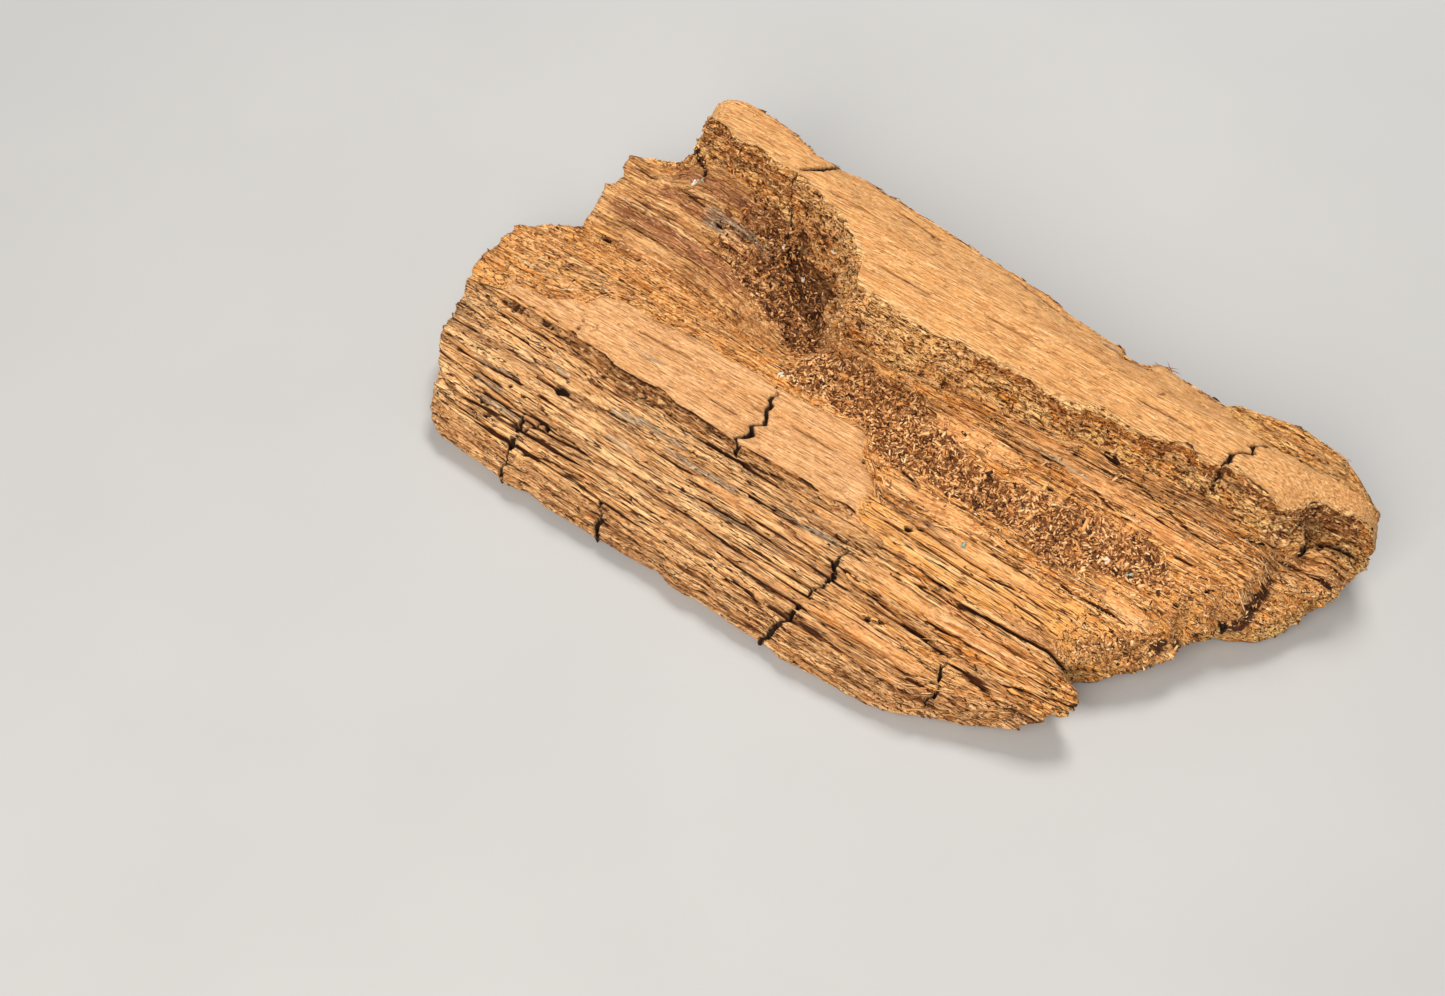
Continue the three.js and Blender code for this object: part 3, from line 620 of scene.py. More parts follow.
# Patches that split cleanly in the midst of rougher wood: x, y, half length, half width
CLEAN_PATCHES = [
    (-106, 11.5, 15, 3.0), (24, 5.5, 15, 3.4), (28, -20, 17, 2.4), (52, -27, 20, 2.2),
    (66, -12, 16, 1.8), (88, -16, 12, 2.0), (62, 12.5, 16, 2.0), (88, 10, 13, 1.8),
    (40, 15, 12, 1.6), (-20, -52, 18, 1.6), (-78, -55, 16, 1.4), (52, -48.9, 29, 2.2),
    (-95, -48, 10, 1.2), (38, -65.2, 19, 2.0),
]
clean_patch = np.zeros(upper_x.shape)
for x0, y0, a, b in CLEAN_PATCHES:
    out = np.hypot((upper_x - x0) / a, (upper_y - y0) / b) + 0.13 * ragged
    clean_patch = np.maximum(clean_patch, smooth_step(1.1, 0.9, out))
clean_patch = clean_patch * (1 - crumb_bed)
smooth_wood = np.maximum.reduce([smooth_plank, smooth_ledge, 0.85 * clean_patch])


def along_run(first_x, last_x, outside, inside):
    """1 between two places along the grain, rising and falling from outside millimetres before
    each to inside millimetres past it."""
    return smooth_step(first_x - outside, first_x + inside, upper_x) * smooth_step(
        last_x + outside, last_x - inside, upper_x
    )


def split_layers(x, across, pitch, seed):
    """Layers split along the grain, like shingles: each rises sharply on its near side, slopes
    down to the next, and is broken off in steps along its length. Gives the height from 0 to 1,
    and how near a place is to the foot of a rise."""
    phase = across / pitch + 1.25 * grain_noise(x / 48, across / 12, 0.5, seed)
    phase = phase + 0.22 * grain_noise(x / 7, across / 3, 0.5, seed + 1)
    number = np.floor(phase)
    part = phase - number
    level = 0.5 + 0.5 * grain_noise(x / 21, number * 3.7, 0.5, seed + 2)
    level = terraces(level, 5, 0.12)
    above = 0.5 + 0.5 * grain_noise(x / 21, (number + 1) * 3.7, 0.5, seed + 2)
    foot = smooth_step(1 - 0.6 / pitch, 1 - 0.2 / pitch, part) * smooth_step(0.35, 0.6, above)
    return level * (1 - part) * smooth_step(0, 0.08, part), foot


# Channels of the trough stained purple brown: first and last x, y, half width
stained = np.zeros(upper_x.shape)
for first_x, last_x, y0, half in (
    (-128, -72, 20.5, 4.2), (-124, -74, 33.5, 2.2), (-118, -78, 41, 2.6), (-88, -66, 30.5, 3.4),
):
    wave = upper_y - y0 + 1.2 * grain_noise(upper_x / 25, y0, 0.5, 58) + 0.4 * ragged
    inside_it = smooth_step(1.15, 0.6, abs(wave) / half)
    stained = np.maximum(stained, along_run(first_x, last_x, 3, 5) * inside_it)

# Relief in millimetres over the drawn skin: shingled layers, furrows between bundles of fibres,
# threads, and crumbling where the wood is rotten through
across = upper_y + upper_z * (1 - 2 * smooth_step(15.6, 17.2, upper_v))
broad_layers, broad_feet = split_layers(upper_x, across, 5.6, 41)
thin_layers, thin_feet = split_layers(upper_x, across, 2.6, 141)
clear_of_ledge = smooth_step(5, 4.7, upper_v) + smooth_step(6.4, 7.2, upper_v) * (1 - 0.7 * trough)
broad_feet, thin_feet = broad_feet * clear_of_ledge, thin_feet * clear_of_ledge
swayed = across + 0.9 * flat_noise(38, 17, 44, across)
furrows = np.minimum(abs(flat_noise(30, 2.7, 45, swayed)) * 5, 1)
fine_furrows = np.minimum(abs(flat_noise(26, 1.25, 145, swayed)) * 3.5, 1)
threads = flat_noise(6, 0.62, 46, swayed)
lumps = solid_noise(5.5, 3.2, 47)
grains = np.minimum(abs(solid_noise(2.2, 1.3, 48)) * 2.4, 1)
pores = smooth_step(0.45, 0.75, solid_noise(2.6, 1.1, 49))
long_waves = solid_noise(45, 9, 50)

ridged = smooth_step(9.2, 10.2, upper_v) * smooth_step(-35, -5, upper_x)
layered = weathered_band + (0.4 + 0.35 * ridged) * loose_wood + 0.16 * trough
layered = layered + 0.95 * near_wall + 0.6 * far_wall + 0.35 * high_wall
layered = np.clip(layered, 0, 1) * (1 - smooth_wood) * (1 - 0.8 * crumb_bed)
crumbling = rough_wall - 0.6 * near_wall + (0.4 - 0.2 * ridged) * loose_wood
crumbling = crumbling + 0.8 * shaded_under_ledge + 0.2 * trough
crumbling = np.clip(crumbling + debris + 0.7 * olive, 0, 1) * (1 - 0.9 * clean_patch)
relief = 0.3 * long_waves
relief = relief + layered * (2.0 * broad_layers + 0.8 * thin_layers + 0.8 * furrows)
relief = relief + layered * (0.45 * fine_furrows - 1.6 - 0.5 * broad_feet - 0.3 * thin_feet)
# Painted shade at the feet of the split layers' rises, where they cast shadow lines
shaded_gaps = layered * (1 - smooth_wood) * np.maximum(broad_feet, 0.75 * thin_feet)
relief = relief + (layered * 0.16 + 0.03) * threads
relief = relief + crumbling * (0.8 * lumps + 1.0 * grains - 0.6 * pores - 0.6)
sculpted = solid_noise(8, 6, 56)
relief = relief + high_wall * 1.5 * sculpted * (1 - shaded_cave) + 1.6 * bowl * sculpted - 3.0 * pocket
relief = relief - smooth_wood * 0.45 * smooth_step(0.5, 0.8, pores) - 0.9 * shaded_under_ledge

# Seams that run along the grain: half width, depth (less than 0 for a raised splinter), and the
# pairs of x and y that each follows
SEAMS = [
    (0.7, 1.0, [(-60, -38.6), (14, -39.6)]), (0.8, 1.0, [(-128, -42.7), (-48, -43)]),
    (0.7, 0.9, [(-118, -44.4), (20, -45)]), (0.6, 0.8, [(-135, -46.6), (-70, -46.6)]),
    (0.8, 1.2, [(-120, -51.2), (58, -52)]), (0.6, 0.9, [(-90, -53.2), (-5, -53.6)]),
    (0.9, 1.4, [(-132, -56), (70, -57)]), (0.7, 1.0, [(-124, -59.4), (-20, -59.4)]),
    (0.8, 1.1, [(-100, -62), (55, -62)]), (0.8, 1.3, [(-126, -64.8), (15, -64.8)]),
    (0.9, 1.4, [(-118, -68.4), (60, -68.4)]), (0.7, 1.0, [(-110, -70.8), (30, -70.8)]),
    (0.9, 1.3, [(-115, -73.4), (50, -73.4)]), (0.7, 1.0, [(16, -29.5), (75, -30)]),
    (0.7, 1.0, [(14, -33), (80, -34)]), (0.7, 0.9, [(15, -24.5), (84, -24)]),
    (1.0, 1.7, [(70, -20.5), (76.5, -21.1), (90.7, -19.5), (100, -17)]),
    (1.1, 2.2, [(48, -42.8), (64.4, -41.8), (84, -39.3), (92, -38)]),
    (0.9, 1.4, [(3, -12.5), (20, -17)]),
    (1.1, 2.2, [(30, 16.9), (45.6, 16.9)]), (1.1, 2.2, [(58, 20.9), (60.4, 20.7), (69.3, 18.6)]),
    (1.2, 2.6, [(71, 18.8), (84.6, 15.5), (94.4, 14.2), (101, 14.3)]),
    (0.8, 1.6, [(92, 17.8), (105, 18.3)]),
    (0.9, 1.5, [(28, 12), (42.9, 10.6), (52.9, 11.6), (72.2, 9.2)]),
    (0.9, 1.4, [(84, 5.9), (101, 6.4)]), (0.7, 1.1, [(40, 13.6), (90, 12)]),
    (0.7, 1.2, [(-134, 38.4), (-105.9, 35.7), (-98, 35)]),
    (0.6, 1.1, [(-124, 27), (-100.3, 26.4), (-76, 25)]),
    (0.6, 1.0, [(-126, 16), (-102, 16.8), (-83, 16.8), (-64, 15)]),
    (1.0, -1.4, [(-122, 28.9), (-101.7, 28.9), (-90, 29.8), (-76, 30.8)]),
    (1.6, -1.3, [(-92, 31.6), (-77, 31)]), (1.2, -1.0, [(-122, 36.8), (-92, 38)]),
    (1.2, -1.1, [(-126, 24), (-92, 24.6)]), (1.5, -0.8, [(-120, 13.5), (-104, 14.5)]),
    (2.4, 2.8, [(15, -51.8), (32, -54.2), (48, -56.4), (60, -58.6), (75, -60.5)]),
    (0.6, 1.8, [(20, -47.6), (38.7, -48.2), (51.6, -51.5)]), (1.0, 2.6, [(37, -41.3), (48, -41.3)]),
    (0.9, 1.8, [(42, -32.6), (63.7, -29.4)]), (1.5, 1.8, [(-20, -68.7), (-7, -71.5), (6, -75)]),
    (1.4, 1.8, [(59, -56.4), (70, -57)]), (1.3, 1.8, [(-58, -40.6), (-30, -40.4), (8, -42.4)]),
    (0.9, 1.4, [(-34, -47.6), (4, -49)]), (0.8, 1.2, [(-70, -57.6), (-34, -58)]),
]
# The floor of a seam this wide shows, so its painted shade isn't black
WIDE_SEAM = 1.25
seam_depth = np.zeros(upper_x.shape)
seam_shade = np.zeros(upper_x.shape)
splinter_height = np.zeros(upper_x.shape)
for number, (half, depth, path) in enumerate(SEAMS):
    middle = along(path, upper_x, 2) + 0.5 * grain_noise(upper_x / 15, number * 0.61, 0.5, 51)
    middle = middle + 0.2 * grain_noise(upper_x / 2.5, number * 0.47, 0.5, 57)
    gate = along_run(path[0][0], path[-1][0], 1, 5)
    if depth > 0:
        gate = gate * smooth_step(-0.5, -0.05, grain_noise(upper_x / 10, number * 0.83, 0.5, 52))
    width = half * (0.75 if depth > 0 else 1)
    profile = channel(upper_y - middle, width, 1.4) * gate * (1 - smooth_wood)
    if depth > 0:
        seam_depth = np.maximum(seam_depth, depth * profile * (1 - near_wall))
        darkest = 0.4 if half > WIDE_SEAM else 1.0
        seam_shade = np.maximum(seam_shade, np.clip(0.55 * depth * profile - 0.2, 0, darkest))
    else:
        splinter_height = np.maximum(splinter_height, -depth * profile)
relief = relief - seam_depth + splinter_height
# Painted shade joins the same mask: in the seams, below the scarp, in the bowl's pocket and along the
# shadow under the ledge's edge
shaded_gaps = np.maximum(shaded_gaps, seam_shade)
shaded_gaps = np.maximum(shaded_gaps, recess_shade * smooth_step(-0.5, 0.2, lumps + 0.4 * ragged))
shaded_gaps = np.maximum(shaded_gaps, 0.55 * pocket)
edge_shadow = region((upper_v, 4.5, 4.65, 0), (upper_v, 4.95, 4.88, 0)) * ledge_span
edge_shadow = edge_shadow * smooth_step(-0.45, -0.05, grain_noise(upper_x / 8, 0.3, 0.5, 60))
shaded_gaps = np.maximum(shaded_gaps, 0.9 * edge_shadow)
relief = relief - 0.7 * edge_shadow

# Cracks across the strands: width, depth, and the way they wander as pairs of x and y
CRACKS = [
    (1.8, 6, [(-36, -11), (-34.5, -15), (-33.5, -19), (-31.5, -23), (-30.5, -27), (-32.5, -29.5),
              (-31, -32.5), (-34.5, -35.5), (-32, -38.5), (-26.5, -41.5)]),
    (2.0, 7, [(13, -42), (14.4, -48), (14.9, -53), (16.3, -56), (14.3, -62), (13.1, -68.5),
              (13.4, -73), (8, -79), (5, -85)]),
    (1.9, 5, [(-96, -62), (-95, -66), (-94, -69), (-92, -74), (-92, -79), (-89, -84)]),
    (1.4, 3.5, [(-84, -62.5), (-88, -63), (-91, -66), (-93.5, -69)]),
    (1.5, 4, [(-57, -72), (-56, -75), (-54, -79), (-53, -85)]),
    (1.5, 4, [(57.5, -59), (58.5, -63), (59.8, -67), (58, -71)]),
    (1.7, 4.5, [(92.2, 24.5), (92, 28), (92.6, 31), (94, 35), (96.9, 36.2), (96.6, 39.5),
                (98.1, 42.4), (101, 44.5)]),
    (2.6, 8, [(-64.5, 67), (-65, 58), (-66.5, 54), (-69.4, 50.6), (-71.5, 48.7)]),
    (1.6, 3.0, [(-71.5, 48.5), (-72.9, 45.1), (-71, 42.1), (-70, 39.2)]),
    (1.2, 2.4, [(-103, -26.5), (-101, -28), (-100.4, -30), (-101, -32.5)]),
    (1.0, 2.0, [(-96.5, -25.5), (-95.8, -28), (-96.2, -30)]),
    (1.8, 4.0, [(-113, 48.4), (-110.9, 46.6), (-107.1, 44.5), (-106, 42.5)]),
    (2.0, 4.0, [(119.4, 36), (120.4, 34.6), (121.6, 33), (122.6, 30.5)]),
    (2.2, 5.0, [(121.5, 34.4), (125.7, 39), (131.3, 40.8), (136, 43)]),
    (1.6, 3.0, [(111, 21.5), (113.5, 24), (116, 25.5)]),
]


def nearest_on_path(x, y, path):
    """Distance to a path of straight runs, and how far along it the nearest place lies (0 to 1)."""
    best = np.full(x.shape, 1e9)
    share = np.zeros(x.shape)
    runs = list(zip(path[:-1], path[1:]))
    for k, ((ax, ay), (bx, by)) in enumerate(runs):
        dx, dy = bx - ax, by - ay
        t = np.clip(((x - ax) * dx + (y - ay) * dy) / (dx * dx + dy * dy), 0, 1)
        far = np.hypot(x - ax - t * dx, y - ay - t * dy)
        closer = far < best
        best = np.where(closer, far, best)
        share = np.where(closer, (k + t) / len(runs), share)
    return best, share


# Fine splits along the grain of the smooth plank and ledge: width, and pairs of x and y
SPLITS = [
    (0.7, [(2, 56.4), (12, 54.4), (24, 52), (35, 49.5)]), (0.7, [(35, 40), (47, 39.4), (57, 39.2)]),
    (0.6, [(-40, 56), (-18, 53.6)]), (0.6, [(40, 49), (62, 49.6)]), (0.5, [(-60, 47), (-38, 46.6)]),
    (0.6, [(-30, 30), (-8, 29.4)]), (0.6, [(60, 33), (82, 33.6)]), (0.5, [(8, 33), (26, 32.6)]),
    (0.8, [(99, 45.4), (108, 46.6), (117, 47)]), (0.5, [(-85, -20.4), (-62, -19.8)]),
    (0.5, [(-52, -28.6), (-38, -28.8)]), (0.5, [(-24, -22), (-6, -22.4)]),
]
crack_depth = np.zeros(upper_x.shape)
for number, (width, path) in enumerate(SPLITS):
    middle = along(path, upper_x, 2) + 0.25 * grain_noise(upper_x / 3, number * 0.91, 0.5, 59)
    split = 1.1 * along_run(path[0][0], path[-1][0], 1, 3) * channel(upper_y - middle, width, 1.5)
    crack_depth = np.maximum(crack_depth, split)
torn_x = upper_x + 0.35 * flat_noise(1.7, 1.7, 53)
torn_y = upper_y + 0.35 * flat_noise(1.7, 1.7, 54)
stepped_x = torn_x + 0.7 * np.tanh(4 * flat_noise(40, 1.5, 58))
for number, (width, depth, path) in enumerate(CRACKS):
    low, high = np.min(path, axis=0) - 3, np.max(path, axis=0) + 3
    near = (upper_x > low[0]) & (upper_x < high[0]) & (upper_y > low[1]) & (upper_y < high[1])
    far, share = nearest_on_path(stepped_x[near], torn_y[near], path)
    taper = np.clip(6 * np.minimum(share, 1 - share), 0.25, 1)
    taper = taper * (0.8 + 0.5 * grain_noise(share * 12, number, 0.5, 55))
    half = np.clip(0.46 * width * taper, 0.22, None)
    cut = depth * taper * channel(far, half, 1.25)
    crack_depth[near] = np.maximum(crack_depth[near], cut)

# Pits and insect exit holes: x, y, half length along the grain, half width, depth
PITS = [
    (-91, -50.5, 3.2, 2.0, 3.4), (26, -31.5, 1.3, 1.2, 3.5), (29, -29.5, 1.0, 0.9, 3.0),
    (-119.5, 7, 2.4, 1.6, 3.0), (-92, 32.8, 2.6, 0.8, 2.4), (32, -61, 1.0, 0.9, 3.0),
    (36, -59.5, 0.9, 0.8, 3.0), (-118, -61, 1.1, 0.9, 2.5), (-106, -58, 1.0, 0.8, 2.5),
    (-100, -58.5, 1.1, 0.9, 2.5), (-86, -64, 1.0, 0.9, 2.5), (-71, -39.5, 1.0, 0.8, 2.5),
    (-84, -38.5, 0.9, 0.7, 2.2), (-124, -35, 1.1, 0.9, 2.2), (-87, -74, 1.0, 0.9, 2.2),
    (-110, -67, 1.1, 0.9, 2.4), (-106, -70, 1.4, 1.0, 2.6), (-103, -66.5, 0.8, 0.7, 2.0),
    (-108, -72, 0.8, 0.7, 2.0), (-101, -71.5, 0.9, 0.7, 2.0), (66.4, 39.1, 0.9, 0.7, 1.8),
    (108.9, 21.7, 1.5, 0.9, 3.0), (101.3, -7, 1.2, 0.9, 2.8), (97.9, -5.1, 0.9, 0.7, 2.4),
    (106.6, 2.0, 1.2, 0.9, 2.4), (52.1, 5.1, 1.4, 0.8, 2.4), (115.1, 1.4, 1.4, 1.2, 3.0),
    (2, -20.5, 1.0, 0.8, 2.2), (-68, 39.5, 2.0, 1.5, 3.0), (-52, 16, 2.5, 1.5, 3.0),
]
pit_depth = np.zeros(upper_x.shape)
for x0, y0, a, b, depth in PITS:
    out = np.hypot((torn_x - x0) / a, (torn_y - y0) / b)
    pit_depth = np.maximum(pit_depth, depth * channel(out, 1, 2.2))

hole_depth = np.maximum(crack_depth, pit_depth)


def grid_normals(points):
    """Unit normals of a grid of points: the cross product of its slopes along and across."""
    normal = np.cross(np.gradient(points, axis=0), np.gradient(points, axis=1))
    return normal / (np.linalg.norm(normal, axis=-1, keepdims=True) + 1e-9)


def box_average(field, rows, columns):
    """Average of a grid of values or points over so many rows and columns either side."""
    for axis, reach in ((0, rows), (1, columns)):
        pad = [(reach + 1, reach) if k == axis else (0, 0) for k in range(field.ndim)]
        total = np.cumsum(np.pad(field, pad, mode="edge"), axis=axis)
        count = 2 * reach + 1
        upper_part = np.take(total, range(count, total.shape[axis]), axis=axis)
        lower_part = np.take(total, range(0, total.shape[axis] - count), axis=axis)
        field = (upper_part - lower_part) / count
    return field


upper = np.stack([upper_x, upper_y, upper_z], -1)
outward = grid_normals(upper)
upper = upper + outward * relief[..., None]
upper[..., 2] -= hole_depth
# Lumps left standing in the broken corner: x, y, half length, half width, height
for x0, y0, a, b, rise in ((118, 31.5, 2.6, 2.8, 9), (130.5, 31, 6.5, 5.5, 3.5), (124, 24, 4, 3, 2)):
    out = ((upper_x - x0) / a) ** 2 + ((upper_y - y0) / b) ** 2
    upper[..., 2] += rise * np.exp(-out) * (upper_v < 13)
LOWEST_SKIN = 1.2
upper[..., 2] = np.maximum(upper[..., 2], LOWEST_SKIN)
# How far the relief stands above its surroundings: the material paints a highlight where it is raised and
# shade where it is sunk
relief_for_painted_light = relief - box_average(relief, 3, 7)
under_relief = 0.5 * grain_noise(under_x / 9, under_y / 1.4, 0.5, 61)
under_lift = np.maximum(under_z + under_relief * smooth_step(0, 1.0, under_z), 0)
under = np.stack([under_x, under_y, under_lift], -1)

# Streaks of grey where the weather has bleached the strands: first and last x, y, half width
GREY_STREAKS = [
    (-120, -104, -61, 1.6), (-131, -120, -45, 1.0), (-112, -95, -45, 1.2), (-72, -48, -46, 1.3),
    (-122, -99, -55.5, 1.6), (-112, -94, -66, 1.2), (-12, 13, -47.5, 1.8), (-85, -67, -26.8, 0.6),
    (28, 62, 12, 0.8), (-99, -84, 32, 2.5), (-100, -70, 35, 1.8), (40, 46, 50, 1.5),
    (-80, -55, -56, 0.9), (-50, -30, -50, 1.0), (-40, -5, -58, 1.0), (18, 40, -27, 0.8),
]
grey = np.zeros(upper_x.shape)
for first_x, last_x, y0, half in GREY_STREAKS:
    streak = channel(upper_y - y0 + 0.3 * ragged, half, 1.5)
    grey = np.maximum(grey, along_run(first_x, last_x, 2, 4) * streak)

# The skin's faces: the ring of columns joined along the grain, and each end closed by rows that
# run from the upper columns down to the underside's
END_ROWS = 26
EDGE_COLUMNS = 12
stations = upper.shape[0]
ring = np.concatenate([upper, under], axis=1)
around = ring.shape[1]
first = np.arange(stations - 1)[:, None] * around
column = np.arange(around)[None, :]
following = (column + 1) % around
corners = [first + column, first + column + around, first + following + around, first + following]
quads = [np.stack(corners, -1).reshape(-1, 4)]
points = [ring.reshape(-1, 3)]
triangles = []
# Each kind of wood, and each place given painted shade or a painted highlight, as a value on
# every point of the upper face, and the kinds that aren't 0 on the underside and at the ends
fields = {
    "hole_shade": hole_depth, "relief_for_painted_light": relief_for_painted_light, "plank": smooth_plank, "ledge": smooth_ledge,
    "band": weathered_band, "crumbs": crumb_bed, "trough": trough, "wall": rough_wall,
    "debris": debris, "shaded_under_ledge": shaded_under_ledge, "grey": grey, "pale": splinter_height,
    "rust": rust, "crumbling": crumbling, "gap_shade": shaded_gaps, "side": outer_sides, "shaded_cave": shaded_cave,
    "niche_shade": niche_shade, "rim": rim_highlight, "olive": olive,
    "clean": np.maximum(clean_patch, 0.35 * trough * (1 - debris)), "stained": stained, "bowl": bowl,
}
ON_UNDERSIDE = {"band": 0.5, "wall": 1, "crumbling": 0.3, "side": 1}
AT_ENDS = {"wall": 1, "rust": 0.5, "crumbling": 1}
values = {}
for name, field in fields.items():
    below = np.full(under_x.shape, ON_UNDERSIDE.get(name, 0.0))
    values[name] = [np.concatenate([field, below], axis=1).ravel()]


def close_end(station, outward_x):
    """Rows of points between the end of the upper columns and the underside's end: straight
    from one to the other, then roughened along the grain as a torn end is."""
    top = ring[station, :upper_count]
    base = station * around
    under_ys = under[station, ::-1, 1]
    foot = np.stack([np.interp(top[:, 1], under_ys, under[station, ::-1, k]) for k in range(3)], -1)
    from_edge = np.minimum(np.arange(upper_count), upper_count - 1 - np.arange(upper_count))
    edge = np.clip(from_edge / EDGE_COLUMNS, 0, 1)
    t = np.arange(1, END_ROWS)[:, None, None] / END_ROWS
    rows = top + (foot - top) * t * edge[:, None]
    rough = 2.2 * grain_noise(station, rows[..., 1] / 4.5, rows[..., 2] / 4.5, 71)
    rough = rough + 1.4 * grain_noise(station, rows[..., 1] / 1.8, rows[..., 2] / 1.5, 72)
    rough = rough + 0.8 * grain_noise(station, rows[..., 1] / 0.9, rows[..., 2] / 0.9, 73)
    rows[..., 0] += outward_x * np.sin(np.pi * t[..., 0]) * edge * (0.4 + rough)
    offset = sum(len(part) for part in points)
    points.append(rows.reshape(-1, 3))
    own = offset + np.arange(rows.shape[0] * upper_count).reshape(-1, upper_count)
    index = np.concatenate([base + np.arange(upper_count)[None], own])
    index[:, 0] = base
    index[:, -1] = base + upper_count - 1
    corners = [index[:-1, :-1], index[:-1, 1:], index[1:, 1:], index[1:, :-1]]
    face = np.stack(corners, -1).reshape(-1, 4)
    quads.append(face if outward_x < 0 else face[:, ::-1])
    under_index = (base + upper_count + np.arange(under_count))[::-1]
    midways = 0.5 * (under_ys[1:] + under_ys[:-1])
    owner = np.clip(np.searchsorted(midways, top[:, 1]), 0, under_count - 1)
    owner = np.maximum.accumulate(owner)
    owner[0], owner[-1] = 0, under_count - 1
    last_row = index[-1]
    turning = last_row[np.searchsorted(owner, np.arange(under_count - 1), side="right")]
    fans = [np.stack([last_row[:-1], last_row[1:], under_index[owner[:-1]]], -1)]
    fans.append(np.stack([under_index[:-1], turning, under_index[1:]], -1))
    fans = np.concatenate(fans)
    triangles.append(fans if outward_x < 0 else fans[:, ::-1])
    for name in fields:
        values[name].append(np.full(own.size, AT_ENDS.get(name, 0.0)))


close_end(0, -1)
close_end(stations - 1, 1)

faces = np.concatenate(quads)
split_faces = np.concatenate([faces[:, [0, 1, 2]], faces[:, [0, 2, 3]], *triangles])
a, b, c = split_faces.T
split_faces = split_faces[(a != b) & (b != c) & (a != c)]


def triangle_mesh(name, corners, faces, attributes):
    """A mesh object in metres in the frame, from millimetre points, triangles and point values."""
    mesh = bpy.data.meshes.new(name)
    mesh.vertices.add(len(corners))
    mesh.vertices.foreach_set("co", ((corners + ORIGIN_SHIFT) * MM).astype(np.float32).ravel())
    mesh.loops.add(faces.size)
    mesh.loops.foreach_set("vertex_index", faces.astype(np.int32).ravel())
    mesh.polygons.add(len(faces))
    mesh.polygons.foreach_set("loop_start", np.arange(0, faces.size, 3, dtype=np.int32))
    mesh.update(calc_edges=True)
    for key, value in attributes.items():
        layer = mesh.attributes.new(key, "FLOAT", "POINT")
        layer.data.foreach_set("value", value.astype(np.float32))
    mesh.validate()
    piece = bpy.data.objects.new(name, mesh)
    bpy.context.collection.objects.link(piece)
    return piece


SLAB_TRIANGLES = 194000
point_values = {name: np.concatenate(parts) for name, parts in values.items()}
slab = triangle_mesh("slab_of_decayed_wood", np.concatenate(points), split_faces, point_values)
thinner = slab.modifiers.new("fewer_faces", "DECIMATE")
thinner.ratio = SLAB_TRIANGLES / len(slab.data.polygons)
thinned = bpy.data.meshes.new_from_object(slab.evaluated_get(bpy.context.evaluated_depsgraph_get()))
slab.modifiers.clear()
full_mesh, slab.data = slab.data, thinned
bpy.data.meshes.remove(full_mesh)
slab.data.name = "slab_of_decayed_wood"
slab.data.polygons.foreach_set("use_smooth", np.ones(len(slab.data.polygons), bool))

# Brown-rotted heartwood: dry and dull, pale tan where it split cleanly, brown where it crumbles.
# Its colour runs in streaks along the grain and is grey where weathered. Painted shade darkens
# its furrows, seams, holes and hollows, and a painted highlight lightens what is raised.
rotted_wood = new_material("brown_rotted_heartwood")
place = add_node(rotted_wood, "TexCoord", output="Object")

# Streaks: length along the grain and width across it in millimetres, detail and distortion
readings = {}
for name, length_mm, width_mm, detail, distortion in (
    ("growth layers", 70, 6, 3, 0.0),
    ("bundles", 17, 1.7, 4, 0.4),
    ("fibres", 7.5, 0.42, 3, 0.1),
    ("threads", 2.6, 0.4, 2, 0.0),
    ("stains", 9, 5.5, 5, 0.0),
    ("vessels", 5.0, 0.22, 0, 0.0),
    ("crumble", 2.2, 1.0, 2, 0.6),
    ("grains", 1.1, 0.5, 1, 0.0),
    ("shaded_gaps", 30, 1.6, 2, 0.15),
    ("fine gaps", 13, 0.85, 1, 0.1),
):
    scale = (1000 / length_mm, 1000 / width_mm, 1000 / width_mm)
    drawn_out = add_node(rotted_wood, "Mapping", {"Vector": place, "Scale": scale})
    sockets = {"Vector": drawn_out, "Scale": 1.0, "Detail": detail, "Distortion": distortion}
    readings[name] = add_node(rotted_wood, "TexNoise", sockets)
for name in ("shaded_gaps", "fine gaps"):
    centred = add_node(rotted_wood, "Math", {0: readings[name], 1: 0.5}, operation="SUBTRACT")
    readings[name] = add_node(rotted_wood, "Math", {0: centred}, operation="ABSOLUTE")

# The kinds of wood, and how smooth or rough the wood is
for name in fields:
    readings[name] = add_node(rotted_wood, "Attribute", output="Fac", attribute_name=name)
readings["smooth"] = readings["plank"]
for name in ("ledge", "clean"):
    either = {0: readings["smooth"], 1: readings[name]}
    readings["smooth"] = add_node(rotted_wood, "Math", either, operation="MAXIMUM")
readings["rough"] = add_node(rotted_wood, "Math", {0: 1.0, 1: readings["smooth"]}, operation="SUBTRACT")
for name, part in (("0.6 rough", 0.6), ("0.8 rough", 0.8)):
    factors = {0: readings["rough"], 1: part}
    readings[name] = add_node(rotted_wood, "Math", factors, operation="MULTIPLY")

